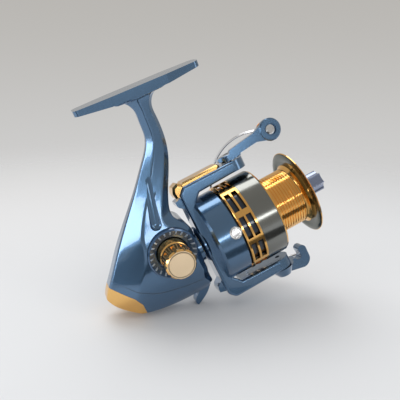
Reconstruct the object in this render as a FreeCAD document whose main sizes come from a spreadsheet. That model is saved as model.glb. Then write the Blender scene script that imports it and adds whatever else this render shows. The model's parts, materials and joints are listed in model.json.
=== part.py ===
import FreeCAD, Part
import math
import os
import Sketcher
from FreeCAD import Placement, Rotation, Vector

# A front-drag spinning reel, built in millimetres as a parametric document.
#
# Frame: the origin is the centre of the foot's seat, the face that lies against the rod.
# +X points forward along the spool axis, +Y is the handle side, +Z points up to the rod.
# The spool axis lies below the seat, and every axial place on it is counted forward from
# the front wall of the gear case, so the rotor, the spool and the shaft share one origin.

doc = FreeCAD.newDocument("SpinningReel")
sheet = doc.addObject("Spreadsheet::Sheet", "Sizes")


# ---------------------------------------------------------------- sizes

class Size:
    """A length that knows its value and the sheet formula that gives it."""

    def __init__(self, text, value):
        self.text = text
        self.value = value

    def __add__(self, other):
        return joined(self, "+", other, lambda a, b: a + b)

    def __radd__(self, other):
        return joined(other, "+", self, lambda a, b: a + b)

    def __sub__(self, other):
        return joined(self, "-", other, lambda a, b: a - b)

    def __rsub__(self, other):
        return joined(other, "-", self, lambda a, b: a - b)

    def __mul__(self, other):
        return joined(self, "*", other, lambda a, b: a * b)

    def __rmul__(self, other):
        return joined(other, "*", self, lambda a, b: a * b)

    def __truediv__(self, other):
        return joined(self, "/", other, lambda a, b: a / b)

    def __neg__(self):
        return 0 - self


def as_size(thing):
    if isinstance(thing, Size):
        return thing
    return Size(f"({float(thing)!r})", float(thing))


def joined(left, sign, right, work):
    left = as_size(left)
    right = as_size(right)
    return Size(f"({left.text}{sign}{right.text})", work(left.value, right.value))


rows_used = 0


def size(name, value, note=""):
    """Writes one driving dimension in the sheet and returns it."""
    global rows_used
    rows_used += 1
    sheet.set(f"A{rows_used}", name)
    sheet.set(f"B{rows_used}", str(value))
    sheet.set(f"C{rows_used}", note)
    sheet.setAlias(f"B{rows_used}", name)
    return Size(f"Sizes.{name}", float(value))


# foot
foot_length = size("foot_length", 64.5, "seat length along the rod")
foot_width = size("foot_width", 15.0)
foot_tip_width = size("foot_tip_width", 10.5)
foot_thick = size("foot_thick", 4.4, "plate thickness at the stem")
foot_tip_thick = size("foot_tip_thick", 2.6)
foot_slope = size("foot_slope", 2.7, "degrees, the front of the seat sits lower")
# gear case
case_front = size("case_front", 6.9, "front wall, behind the seat centre")
case_wall = size("case_wall", 1.5)
# crank axis
crank_back = size("crank_back", 13.3, "behind the front wall")
crank_rise = size("crank_rise", 10.2, "above the spool axis")
drive_shaft_r = size("drive_shaft_r", 3.0)
crank_bearing_r = size("crank_bearing_r", 6.5)
crank_bearing_width = size("crank_bearing_width", 3.0)
running = size("running", 0.05, "radial clearance of a running fit")
seam = size("seam", 0.05, "gap between two fitted housings")
free_gap = size("free_gap", 0.35, "gap between parts that pass each other")
# drive gear and pinion
drive_gear_r = size("drive_gear_r", 10.9)
drive_gear_thick = size("drive_gear_thick", 3.4)
drive_gear_teeth = 39
face_tooth_height = size("face_tooth_height", 0.8)
pinion_r = size("pinion_r", 3.9, "tip radius")
pinion_root_r = size("pinion_root_r", 3.1)
pinion_teeth = 10
pinion_tooth_length = size("pinion_tooth_length", 7.0)
pinion_journal_r = size("pinion_journal_r", 4.0)
# oscillation train
gear_module = size("gear_module", 0.8)
crank_gear_teeth = 16
idler_teeth = 20
idler_angle = size("idler_angle", 29.5, "degrees below the line straight back")
idler_stud_r = size("idler_stud_r", 1.8)
train_y = size("train_y", 5.2, "near face of the two spur gears")
train_thick = size("train_thick", 2.4)
# main shaft and slider
main_shaft_r = size("main_shaft_r", 2.0)
stroke = size("stroke", 12.0, "travel of spool and slider")
slider_length = size("slider_length", 6.0)
slider_gap = size("slider_gap", 1.0, "left ahead of the slider at full travel")
# rotor
rotor_gap = size("rotor_gap", 2.7, "front wall to rotor")
rest_turn = size("rest_turn", -12.0, "degrees the rotor is turned at rest")
flange_r = size("flange_r", 10.5)
flange_thick = size("flange_thick", 1.8)
bar_front = size("bar_front", 10.2, "front of the rotor's cross bar")
arm_out = size("arm_out", 33.4, "outer face of the rotor arms")
arm_thick = size("arm_thick", 6.6)
arm_half = size("arm_half", 7.8, "half the width of the rotor arms")
arm_front = size("arm_front", 37.6, "where the arms' round ends begin")
arm_bevel = size("arm_bevel", 1.4)
cup_r = size("cup_r", 23.9)
cup_step = size("cup_step", 21.4, "where the cup gets narrow for the spool skirt")
cup_front = size("cup_front", 35.0)
cup_wall = size("cup_wall", 2.0)
skirt_gap = size("skirt_gap", 0.7, "cup to spool skirt")
rotor_floor = size("rotor_floor", 2.6)
nut_reach = size("nut_reach", 3.6)
nut_across = size("nut_across", 12.0)
# spool
skirt_r = size("skirt_r", 24.4)
skirt_wall = size("skirt_wall", 1.3)
ring_rear = size("ring_rear", 22.0, "rear edge of the windowed ring")
ring_front = size("ring_front", 31.3)
skirt_front = size("skirt_front", 43.8)
core_r = size("core_r", 16.0)
lip_rear = size("lip_rear", 64.6)
lip_r = size("lip_r", 24.0)
lip_thick = size("lip_thick", 1.5)
window_rows = 2
window_count = 10
window_width = size("window_width", 2.3)
window_bar = size("window_bar", 1.1, "gold bar at the ring's edges")
window_share = size("window_share", 0.78, "share of a pitch that is open")
core_groove = size("core_groove", 0.45)
knob_r = size("knob_r", 8.2)
knob_front = size("knob_front", 80.4)
# bail
bail_pivot = size("bail_pivot", 39.0, "bail axis, forward of the front wall")
hub_r = size("hub_r", 6.0)
hub_thick = size("hub_thick", 3.4)
weight_half = size("weight_half", 5.0, "half width of the balance weights behind the bar")
bail_screw_r = size("bail_screw_r", 1.3)
hook_depth = size("hook_depth", 5.0, "depth of the lower bail arm's domed hub")
roller_ahead = size("roller_ahead", 25.0, "line roller ahead of the bail axis")
roller_out = size("roller_out", 38.9, "line roller centre from the spool axis")
roller_end_r = size("roller_end_r", 6.2)
bail_plate = size("bail_plate", 3.4)
roller_r = size("roller_r", 4.4)
roller_width = size("roller_width", 5.0)
wire_r = size("wire_r", 0.85)
bail_reach = size("bail_reach", 44.5, "wire from the bail axis")
bail_lean = size("bail_lean", 105.0, "degrees the wire lies back from straight ahead")
hook_ahead = size("hook_ahead", 15.2, "wire's lower end ahead of the bail axis")
hook_y = size("hook_y", 6.5)
# handle
shank_r = size("shank_r", 5.2)
shank_out = size("shank_out", 52.6, "handle fold axis from the middle plane")
handle_length = size("handle_length", 50.0)
handle_turn = size("handle_turn", 50.0, "degrees the crank points down from forward")
handle_thick = size("handle_thick", 5.0)
handle_width = size("handle_width", 9.0)
grip_r = size("grip_r", 8.0)
grip_length = size("grip_length", 24.0)
# collar and cap on the near side
collar_r = size("collar_r", 13.4)
collar_out = size("collar_out", 15.4)
cap_r = size("cap_r", 7.8)
cap_out = size("cap_out", 29.8)
cap_notches = 10
# anti-reverse lever
lever_back = size("lever_back", 3.6)
lever_drop = size("lever_drop", 17.6)
lever_rod_r = size("lever_rod_r", 1.5)

# Stations of the moulded stem and gear case, from the foot down: the step below the last
# station, the rear edge, the front edge, half the width, and how much of that width the
# front keeps. The spool axis runs through the station named axis.
STATION_TABLE = [
    ("flare", 3.0, -15.0, 16.5, 6.6, 0.60),
    ("throat", 2.6, -9.5, 9.6, 5.8, 0.55),
    ("neck", 2.9, -6.6, 4.6, 5.2, 0.50),
    ("collar", 5.5, -5.6, 2.8, 4.9, 0.50),
    ("waist", 8.0, -6.1, 2.9, 4.8, 0.50),
    ("shin", 8.0, -8.7, 2.2, 5.0, 0.50),
    ("knee", 10.0, -16.8, -0.7, 5.8, 0.50),
    ("thigh", 10.0, -25.4, -5.6, 7.4, 0.50),
    ("hip", 10.0, -34.8, -10.4, 9.8, 0.55),
    ("shoulder", 7.0, -41.2, -10.9, 12.0, 0.65),
    ("crown", 5.5, -45.9, None, 13.5, 0.80),
    ("chest", 8.5, -52.7, None, 14.4, 0.84),
    ("heel", 7.0, -58.4, None, 14.2, 0.84),
    ("axis", 3.3, -60.4, None, 13.9, 0.84),
    ("belly", 5.7, -60.8, None, 12.8, 0.84),
    ("sole", 5.0, -60.0, None, 11.2, 0.80),
    ("keel", 5.0, -58.0, None, 9.2, 0.80),
    ("toe", 4.0, -55.0, None, 7.0, 0.80),
    ("base", 2.6, -52.0, None, 5.4, 0.80),
]

stations = []
axis_drop = as_size(0.0)
drop_so_far = as_size(0.0)
for name, step, back, fore, half, keep in STATION_TABLE:
    drop_so_far = drop_so_far + size(f"{name}_step", step)
    back_edge = size(f"{name}_back", back)
    front_edge = -case_front
    if fore is not None:
        front_edge = size(f"{name}_fore", fore)
    stations.append((drop_so_far, back_edge, front_edge, size(f"{name}_half", half), keep))
    if name == "axis":
        axis_drop = drop_so_far

doc.recompute()


# ---------------------------------------------------------------- places

def on_axis(ahead=0.0):
    """A place on the spool axis, counted forward from the case's front wall."""
    return (ahead - case_front, as_size(0.0), -axis_drop)


CRANK = (-crank_back - case_front, as_size(0.0), crank_rise - axis_drop)


def crank_at(across):
    """A place on the crank axis, at a distance across the reel."""
    return (CRANK[0], as_size(across), CRANK[2])


def turned_at(place, rotation):
    return Placement(Vector(*[part.value for part in place]), rotation)


def put(obj, place, rotation=Rotation()):
    """Places an object, with each coordinate bound to the sheet."""
    place = [as_size(part) for part in place]
    obj.Placement = turned_at(place, rotation)
    for letter, part in zip("xyz", place):
        obj.setExpression(f"Placement.Base.{letter}", part.text)
    return obj


ROTOR_TURN = Rotation(Vector(1, 0, 0), rest_turn.value)


def put_on_rotor(obj):
    """Places an object in the rotor's own frame, which is turned at rest."""
    put(obj, on_axis(), ROTOR_TURN)
    obj.setExpression("Placement.Rotation.Angle", rest_turn.text)
    return obj


# ---------------------------------------------------------------- sketch helpers

def origin_plane(body, role):
    for feature in body.Origin.OriginFeatures:
        if feature.Role == role:
            return feature
    raise ValueError(role)


def new_body(label):
    body = doc.addObject("PartDesign::Body", label)
    body.Label = label
    return body


def new_sketch(body, role, offset=0.0):
    """A sketch on one of the body's own planes, raised along that plane's normal."""
    sketch = body.newObject("Sketcher::SketchObject", "Sketch")
    sketch.AttachmentSupport = [(origin_plane(body, role), "")]
    sketch.MapMode = "FlatFace"
    offset = as_size(offset)
    sketch.AttachmentOffset = Placement(Vector(0, 0, offset.value), Rotation())
    sketch.setExpression("AttachmentOffset.Base.z", offset.text)
    return sketch


def pin_point(sketch, geometry, end, point):
    """Ties one end of a curve to its place from the sketch's origin."""
    for kind, part in zip(("DistanceX", "DistanceY"), point):
        part = as_size(part)
        if abs(part.value) < 1e-9:
            on_line = -2 if kind == "DistanceX" else -1
            sketch.addConstraint(Sketcher.Constraint("PointOnObject", geometry, end, on_line))
            continue
        number = sketch.addConstraint(
            Sketcher.Constraint(kind, -1, 1, geometry, end, part.value))
        sketch.setExpression(f"Constraints[{number}]", part.text)


def polygon(sketch, points):
    """A closed outline through points whose coordinates are sizes."""
    points = [(as_size(x), as_size(y)) for x, y in points]
    first = sketch.GeometryCount
    count = len(points)
    for index in range(count):
        start = points[index]
        end = points[(index + 1) % count]
        sketch.addGeometry(Part.LineSegment(
            Vector(start[0].value, start[1].value, 0),
            Vector(end[0].value, end[1].value, 0)), False)
    for index in range(count):
        following = first + (index + 1) % count
        sketch.addConstraint(Sketcher.Constraint(
            "Coincident", first + index, 2, following, 1))
    for index in range(count):
        pin_point(sketch, first + index, 1, points[index])


def circle(sketch, radius, centre=(0.0, 0.0)):
    radius = as_size(radius)
    centre = [as_size(part) for part in centre]
    number = sketch.addGeometry(Part.Circle(
        Vector(centre[0].value, centre[1].value, 0), Vector(0, 0, 1), radius.value), False)
    limit = sketch.addConstraint(Sketcher.Constraint("Radius", number, radius.value))
    sketch.setExpression(f"Constraints[{limit}]", radius.text)
    pin_point(sketch, number, 3, centre)


def rectangle(sketch, low, high):
    polygon(sketch, [low, (high[0], low[1]), high, (low[0], high[1])])


def revolve(body, sketch, kind="PartDesign::Revolution", axis="H_Axis"):
    feature = body.newObject(kind, "Turned")
    feature.Profile = sketch
    feature.ReferenceAxis = (sketch, [axis])
    feature.Angle = 360
    doc.recompute()
    return feature


def pad(body, sketch, length, both_ways=False, backwards=False):
    length = as_size(length)
    feature = body.newObject("PartDesign::Pad", "Pad")
    feature.Profile = sketch
    feature.Length = length.value
    feature.setExpression("Length", length.text)
    feature.Midplane = both_ways
    feature.Reversed = backwards
    doc.recompute()
    return feature


def pocket(body, sketch, length, both_ways=False, backwards=False):
    """A pocket that must take material away."""
    before = body.Shape.Volume
    length = as_size(length)
    feature = body.newObject("PartDesign::Pocket", "Pocket")
    feature.Profile = sketch
    feature.Length = length.value
    feature.setExpression("Length", length.text)
    feature.Midplane = both_ways
    feature.Reversed = backwards
    doc.recompute()
    if body.Shape.Volume > before - 1e-6:
        raise ValueError(f"{body.Label}: a pocket cut nothing")
    return feature


def around(body, sketch, feature, count, axis="N_Axis"):
    """Repeats a feature evenly round an axis of its sketch."""
    pattern = body.newObject("PartDesign::PolarPattern", "Round")
    pattern.Originals = [feature]
    pattern.Axis = (sketch, [axis])
    pattern.Angle = 360
    pattern.Occurrences = count
    body.Tip = pattern
    doc.recompute()
    return pattern


def edge_names(body, wanted):
    names = []
    for number, edge in enumerate(body.Shape.Edges, 1):
        if wanted(edge):
            names.append(f"Edge{number}")
    return names


def soften(body, wanted, amount, kind="PartDesign::Fillet"):
    """Rounds or bevels the edges that a test picks."""
    names = edge_names(body, wanted)
    if not names:
        raise ValueError(f"{body.Label}: no edge to soften")
    amount = as_size(amount)
    carrier = body.Tip
    feature = body.newObject(kind, "Soft")
    feature.Base = (carrier, names)
    prop = "Radius" if kind == "PartDesign::Fillet" else "Size"
    setattr(feature, prop, amount.value)
    feature.setExpression(prop, amount.text)
    doc.recompute()
    return feature


def turned_part(label, profile, place, rotation=Rotation()):
    """A piece turned about its own X axis from a profile of (along, radius) points."""
    body = new_body(label)
    sketch = new_sketch(body, "XZ_Plane")
    polygon(sketch, profile)
    revolve(body, sketch)
    put(body, place, rotation)
    return body


ACROSS = Rotation(Vector(0, 0, 1), 90)    # a turned piece's X axis laid along +Y


def from_code(label, shape):
    feature = doc.addObject("Part::Feature", label)
    feature.Label = label
    feature.Shape = shape
    return feature


# ---------------------------------------------------------------- housing

def rounded_wire(corners, height):
    """A closed wire through (x, y, radius) corners, each rounded with a tangent arc."""
    edges = []
    count = len(corners)
    starts = []
    ends = []
    middles = []
    for index in range(count):
        x, y, radius = corners[index]
        here = Vector(x, y, height)
        before = Vector(corners[index - 1][0], corners[index - 1][1], height)
        after = Vector(corners[(index + 1) % count][0], corners[(index + 1) % count][1], height)
        back = (before - here).normalize()
        ahead = (after - here).normalize()
        half_angle = back.getAngle(ahead) / 2
        reach = radius / math.tan(half_angle)
        centre = here + (back + ahead).normalize() * (radius / math.sin(half_angle))
        starts.append(here + back * reach)
        ends.append(here + ahead * reach)
        middles.append(centre + (here - centre).normalize() * radius)
    for index in range(count):
        edges.append(Part.Arc(starts[index], middles[index], ends[index]).toShape())
        following = starts[(index + 1) % count]
        edges.append(Part.LineSegment(ends[index], following).toShape())
    return Part.Wire(edges)


def station_wire(drop, back, fore, half, keep):
    """One level section: a narrow rear edge, a broad bevel, flat sides and the front."""
    length = fore - back
    bevel = min(0.36 * length, 1.15 * half)
    rear = 0.30 * half
    front = keep * half
    cheek = min(0.22 * length, (half - front) * 1.4)
    corners = [
        (back, rear, 0.18 * half), (back, -rear, 0.18 * half),
        (back + bevel, -half, 0.30 * half), (fore - cheek, -half, 0.16 * half),
        (fore, -front, 0.10 * half), (fore, front, 0.10 * half),
        (fore - cheek, half, 0.16 * half), (back + bevel, half, 0.30 * half),
    ]
    return rounded_wire(corners, -drop)


def moulded_form():
    """Stem and gear case as one smooth form through the stations."""
    wires = [station_wire(drop.value, back.value, fore.value, half.value, keep)
             for drop, back, fore, half, keep in stations]
    loft = Part.makeLoft(wires, True, False, False, 3)
    return loft.cut(under_case())


def under_case():
    """Everything below the case's sole, whose side outline is one smooth curve."""
    sole = [Vector(front_x + ahead, -widest - 6, axis_z - below)
            for ahead, below in ((-60.0, -12.0), (-53.6, 0.0), (-50.4, 6.1), (-45.1, 11.0),
                                 (-39.9, 14.4), (-31.3, 18.0), (-22.3, 20.4), (-12.6, 21.5),
                                 (-5.9, 21.8), (4.0, 21.6))]
    curve = Part.BSplineCurve()
    curve.interpolate(sole)
    low = axis_z - 40
    start = Vector(sole[0].x - 14, sole[0].y, sole[0].z)
    corner_back = Vector(start.x, start.y, low)
    corner_front = Vector(sole[-1].x, start.y, low)
    edges = [curve.toShape(), Part.LineSegment(sole[-1], corner_front).toShape(),
             Part.LineSegment(corner_front, corner_back).toShape(),
             Part.LineSegment(corner_back, start).toShape(),
             Part.LineSegment(start, sole[0]).toShape()]
    return Part.Face(Part.Wire(edges)).extrude(Vector(0, 2 * widest + 12, 0))


def foot_form():
    """The foot: a plate that narrows and thins towards its two ends."""
    half = foot_length.value / 2
    wide = foot_width.value / 2
    tip = foot_tip_width.value / 2
    waist = half * 0.45
    tip_r = tip * 0.62
    plan = rounded_wire([
        (-half, -tip, tip_r), (-waist, -wide, 4.0), (waist, -wide, 4.0), (half, -tip, tip_r),
        (half, tip, tip_r), (waist, wide, 4.0), (-waist, wide, 4.0), (-half, tip, tip_r),
    ], -2 * foot_thick.value)
    plate = Part.Face(plan).extrude(Vector(0, 0, 3 * foot_thick.value))
    thin = -foot_tip_thick.value
    thick = -foot_thick.value
    side = Part.makePolygon([
        Vector(-half - 1, -foot_width.value, 0), Vector(half + 1, -foot_width.value, 0),
        Vector(half + 1, -foot_width.value, thin), Vector(waist, -foot_width.value, thick),
        Vector(-waist, -foot_width.value, thick), Vector(-half - 1, -foot_width.value, thin),
        Vector(-half - 1, -foot_width.value, 0)])
    profile = Part.Face(side).extrude(Vector(0, 2 * foot_width.value, 0))
    form = plate.common(profile)
    form.rotate(Vector(0, 0, 0), Vector(0, 1, 0), foot_slope.value)
    return form


def rod(radius, start, end):
    """A round bar between two points."""
    span = end - start
    return Part.makeCylinder(radius, span.Length, start, span)


def block(low, high):
    low = Vector(*low)
    high = Vector(*high)
    return Part.makeBox(high.x - low.x, high.y - low.y, high.z - low.z, low)


crank = Vector(CRANK[0].value, 0, CRANK[2].value)
axis_z = -axis_drop.value
front_x = -case_front.value
widest = max(half.value for drop, back, fore, half, keep in stations)
bottom_z = -stations[-1][0].value
cover_y = train_y.value + train_thick.value + 1.6
train_reach = gear_module * (crank_gear_teeth + idler_teeth) / 2
idler_tilt = math.radians(idler_angle.value)
idler = crank + Vector(-math.cos(idler_tilt), 0, -math.sin(idler_tilt)) * train_reach.value
slider_rear_u = -(pinion_tooth_length + 5.0 + slider_gap + stroke + slider_length)


def across(centre, radius, near, far):
    """A round bar laid across the reel about a point of the middle plane."""
    return rod(radius, Vector(centre.x, near, centre.z), Vector(centre.x, far, centre.z))


def case_hollow():
    """The room for the gears, the slider and the bearings."""
    gear_near = -(pinion_r.value + 0.25 + face_tooth_height.value + drive_gear_thick.value
                  + free_gap.value)
    hollow = across(crank, drive_gear_r.value + 0.8, gear_near, cover_y)
    idler_room = gear_module.value * (idler_teeth / 2 + 1) + 0.7
    hollow = hollow.fuse(across(idler, idler_room, -pinion_r.value - 0.6, cover_y))
    rear = front_x + slider_rear_u.value - 1.2
    slot = block((rear, -pinion_r.value - 0.6, axis_z - 6.0),
                 (front_x - pinion_tooth_length.value, cover_y, axis_z + 5.6))
    hollow = hollow.fuse(slot)
    tube = rod(pinion_r.value + 0.7, Vector(front_x - 14, 0, axis_z),
               Vector(front_x - 2.5, 0, axis_z))
    hollow = hollow.fuse(tube)
    bearing = rod(pinion_journal_r.value + 3.0, Vector(front_x - 2.6, 0, axis_z),
                  Vector(front_x + 5, 0, axis_z))
    hollow = hollow.fuse(bearing)
    near_bearing = across(crank, crank_bearing_r.value, -collar_out.value, 0)
    return hollow.fuse(near_bearing)


def cover_region(grow):
    """The far side of the gear case, which the side cover takes."""
    top = axis_z + crank_rise.value + drive_gear_r.value + 2.6
    rear = idler.x - gear_module.value * (idler_teeth / 2 + 1) - 2.2
    region = block((rear - grow, cover_y - grow, bottom_z + 3.4 - grow),
                   (front_x + 5, widest + 5, top + grow))
    corner = region.makeFillet(6.0, [edge for edge in region.Edges
                                     if abs(edge.Vertexes[0].X - (rear - grow)) < 1e-6
                                     and abs(edge.Vertexes[1].X - (rear - grow)) < 1e-6
                                     and abs(edge.Vertexes[0].Y - edge.Vertexes[1].Y) > 1])
    return corner


def rear_cap_region(grow):
    """The rear bottom corner, which the cap takes, with a bent front boundary."""
    side = -widest - 5
    outline = [(-75, -10), (-60, 16.5), (-51.5 + grow, 7.4 + grow), (-40.6 + grow, -3.2 + grow),
               (-38.4 + grow, -8.4), (-39.0 + grow, -40), (-75, -40)]
    wire = Part.makePolygon([Vector(front_x + ahead, side, axis_z + up)
                             for ahead, up in outline + outline[:1]])
    return Part.Face(wire).extrude(Vector(0, -2 * side, 0))


def stem_hollow(side):
    """The leaf-shaped hollow pressed into each side of the stem."""
    low = Vector(front_x - 14.5, side * 12.8, axis_z + 27.5)
    high = Vector(front_x - 8.0, side * 8.4, axis_z + 50.0)
    bar = rod(3.4, low, high)
    bar = bar.fuse(Part.makeSphere(3.4, low))
    return bar.fuse(Part.makeSphere(3.4, high))


SCREW_SPOTS = [(-5.0, -13.6), (-5.0, 20.8), (-30.5, -12.6)]


def cover_screw(spot):
    """One countersunk screw of the side cover, with a cross recess."""
    x = front_x + spot[0]
    z = axis_z + spot[1]
    top = widest * 0.93
    shank = rod(1.1, Vector(x, cover_y - 5, z), Vector(x, top - 1, z))
    head = Part.makeCone(1.1, 2.3, 1.2, Vector(x, top - 2.2, z), Vector(0, 1, 0))
    rim = rod(2.3, Vector(x, top - 1.0, z), Vector(x, top - 0.6, z))
    screw = shank.fuse(head).fuse(rim)
    slot_one = block((x - 1.6, top - 1.3, z - 0.3), (x + 1.6, top, z + 0.3))
    slot_two = block((x - 0.3, top - 1.3, z - 1.6), (x + 0.3, top, z + 1.6))
    return screw.cut(slot_one).cut(slot_two)


def screw_room(spot):
    x = front_x + spot[0]
    z = axis_z + spot[1]
    top = widest * 0.93
    shank = rod(1.12, Vector(x, cover_y - 5.1, z), Vector(x, top, z))
    head = rod(2.4, Vector(x, top - 2.2, z), Vector(x, widest + 3, z))
    return shank.fuse(head)


def build_housing():
    form = moulded_form()
    nose = rod(pinion_journal_r.value + 4.6, Vector(front_x - 3, 0, axis_z),
               Vector(front_x + rotor_gap.value - 0.5, 0, axis_z))
    shell = form.fuse(foot_form()).fuse(nose)
    collar_room = across(crank, collar_r.value, -collar_out.value - 3, -widest + 2.6)
    lever_x = front_x - lever_back.value
    lever_room = rod(lever_rod_r.value + running.value, Vector(lever_x - 9, 0, axis_z - lever_drop.value),
                     Vector(front_x + 1, 0, axis_z - lever_drop.value))
    lever_slot = block((lever_x - 6.0, -5.4, bottom_z - 4),
                       (front_x + 1, 7.4, axis_z - lever_drop.value + lever_rod_r.value + 0.6))
    shell = shell.cut(case_hollow()).cut(collar_room).cut(lever_room).cut(lever_slot)
    for side in (-1, 1):
        shell = shell.cut(stem_hollow(side))
    shell = shell.cut(cover_region(0.0)).cut(rear_cap_region(0.0))
    for spot in SCREW_SPOTS:
        shell = shell.cut(screw_room(spot))
    from_code("housing", shell.removeSplitter())
    cover = form.common(cover_region(-seam.value))
    cover = cover.cut(across(crank, crank_bearing_r.value, 0, widest - 1.6))
    cover = cover.cut(across(crank, drive_shaft_r.value + 2.4, 0, widest + 5))
    for spot in SCREW_SPOTS:
        cover = cover.cut(screw_room(spot))
    stud = across(idler, idler_stud_r.value, train_y.value - 0.1, cover_y + 1.0)
    from_code("side_cover", cover.fuse(stud))
    from_code("rear_cap", form.common(rear_cap_region(-seam.value)))
    screws = Part.makeCompound([cover_screw(spot) for spot in SCREW_SPOTS])
    from_code("cover_screws", screws)


build_housing()


# ---------------------------------------------------------------- near side collar and cap

def build_collar():
    """The dished ring round the crank axis, with a ring of small raised marks."""
    body = new_body("collar")
    seat = widest - 2.55
    sketch = new_sketch(body, "XZ_Plane")
    bore = cap_r + 0.9
    polygon(sketch, [(seat, bore), (collar_out - 1.9, bore), (collar_out - 1.7, bore + 0.6),
                     (collar_out - 0.2, collar_r - 1.3), (collar_out, collar_r - 0.9),
                     (collar_out - 0.5, collar_r - free_gap / 2), (seat, collar_r - free_gap / 2)])
    revolve(body, sketch)
    marks = new_sketch(body, "YZ_Plane", collar_out - 1.9)
    rectangle(marks, (-0.25, bore + 1.3), (0.25, collar_r - 2.0))
    mark = pad(body, marks, 1.1)
    around(body, marks, mark, 24)
    put(body, crank_at(0.0), TO_NEAR)


TO_NEAR = Rotation(Vector(0, 0, 1), -90)   # a turned piece's X axis laid along -Y


def build_cap():
    """The stepped screw cap that closes the crank axis on the near side."""
    body = new_body("handle_cap")
    sketch = new_sketch(body, "XZ_Plane")
    base = collar_out - 2.4
    polygon(sketch, [(base, 0.0), (base, cap_r + 0.5), (collar_out + 2.6, cap_r - 0.2),
                     (collar_out + 3.0, cap_r - 0.9), (collar_out + 4.0, cap_r - 0.9),
                     (collar_out + 4.4, cap_r - 0.2), (cap_out - 1.2, cap_r),
                     (cap_out - 0.2, cap_r - 0.8), (cap_out - 0.2, cap_r - 1.6),
                     (cap_out, cap_r - 1.8), (cap_out, 0.0)])
    revolve(body, sketch)
    notch = new_sketch(body, "YZ_Plane", cap_out + 0.5)
    circle(notch, 0.95, (0.0, cap_r + 0.35))
    cut = pocket(body, notch, cap_out - collar_out - 6.2)
    around(body, notch, cut, cap_notches)
    thread = new_sketch(body, "YZ_Plane", base)
    circle(thread, drive_shaft_r - 0.8)
    pad(body, thread, 5.0, backwards=True)
    put(body, crank_at(0.0), TO_NEAR)


# ---------------------------------------------------------------- drive train

def spur_outline(teeth, module, thin):
    """A spur gear's outline with straight-sided teeth, thinned for backlash."""
    pitch_r = module * teeth / 2
    tip_r = pitch_r + 0.9 * module
    root_r = pitch_r - 1.15 * module
    points = []
    pitch = 2 * math.pi / teeth
    for tooth in range(teeth):
        middle = tooth * pitch
        half_root = pitch * 0.36 - thin / root_r
        half_pitch = pitch * 0.25 - thin / pitch_r
        half_tip = pitch * 0.13 - thin / tip_r
        for angle, radius in ((-half_root, root_r), (-half_pitch, pitch_r), (-half_tip, tip_r),
                              (half_tip, tip_r), (half_pitch, pitch_r), (half_root, root_r)):
            points.append(Vector(radius * math.cos(middle + angle),
                                 radius * math.sin(middle + angle), 0))
    points.append(points[0])
    return Part.Face(Part.makePolygon(points))


def spur_gear(teeth, first_angle, centre, near, thick, bore):
    """A spur gear lying across the reel, its first tooth at an angle in the XZ plane."""
    gear = spur_outline(teeth, gear_module.value, 0.09).extrude(Vector(0, 0, thick))
    gear = gear.cut(Part.makeCylinder(bore, thick))
    gear.rotate(Vector(0, 0, 0), Vector(0, 0, 1), first_angle)
    gear.rotate(Vector(0, 0, 0), Vector(1, 0, 0), -90)
    gear.translate(Vector(centre.x, near, centre.z))
    return gear


def build_drive_gear():
    """The face gear on the crank axis, its teeth turned towards the pinion."""
    teeth_y = -(pinion_r.value + 0.25)
    face_y = teeth_y - face_tooth_height.value
    back_y = face_y - drive_gear_thick.value
    disc = across(crank, drive_gear_r.value, back_y, face_y)
    relief = across(crank, drive_gear_r.value - 2.6, face_y - 1.0, face_y)
    hub = across(crank, drive_shaft_r.value + 1.8, back_y - 0.2, face_y + 0.4)
    disc = disc.cut(relief).fuse(hub)
    tooth = block((drive_gear_r.value - 2.2, -0.22, 0.0), (drive_gear_r.value - 0.1, 0.22, 1.0))
    teeth = []
    for number in range(drive_gear_teeth):
        one = tooth.copy()
        one.rotate(Vector(0, 0, 0), Vector(0, 0, 1), number * 360.0 / drive_gear_teeth)
        one.rotate(Vector(0, 0, 0), Vector(1, 0, 0), -90)
        one.translate(Vector(crank.x, face_y - 0.2, crank.z))
        teeth.append(one)
    disc = disc.fuse(teeth)
    disc = disc.cut(across(crank, drive_shaft_r.value, back_y - 5, face_y + 5))
    from_code("drive_gear", disc)


def build_spur_train():
    """The gear on the crank shaft and the idler that works the slider."""
    towards = 180.0 + idler_angle.value
    from_code("crank_gear", spur_gear(crank_gear_teeth, -towards, crank, train_y.value,
                                      train_thick.value, drive_shaft_r.value))
    half_pitch = 180.0 / idler_teeth
    gear = spur_gear(idler_teeth, -idler_angle.value + half_pitch, idler, train_y.value,
                     train_thick.value, idler_stud_r.value + running.value)
    offset = Vector(-5.2, 0, 0)
    pin = across(idler + offset, 1.2, train_y.value + train_thick.value - 0.5,
                 train_y.value + train_thick.value + 0.9)
    from_code("oscillation_gear", gear.fuse(pin))


def build_drive_shaft():
    """The crank shaft, from the cap's thread on the near side to the handle's shank."""
    near = collar_out - 2.4
    turned_part("drive_shaft", [
        (-near + 0.05, drive_shaft_r - 0.8), (-near + 0.05, drive_shaft_r),
        (shank_root, drive_shaft_r), (shank_root, 0.0), (-near + 5.1, 0.0),
        (-near + 5.1, drive_shaft_r - 0.8)], crank_at(0.0), ACROSS)


shank_root = as_size(widest) + 4.0


def bearing(label, centre_y):
    turned_part(label, [
        (-crank_bearing_width / 2, drive_shaft_r + running),
        (-crank_bearing_width / 2, crank_bearing_r), (crank_bearing_width / 2, crank_bearing_r),
        (crank_bearing_width / 2, drive_shaft_r + running)], crank_at(centre_y), ACROSS)


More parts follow.
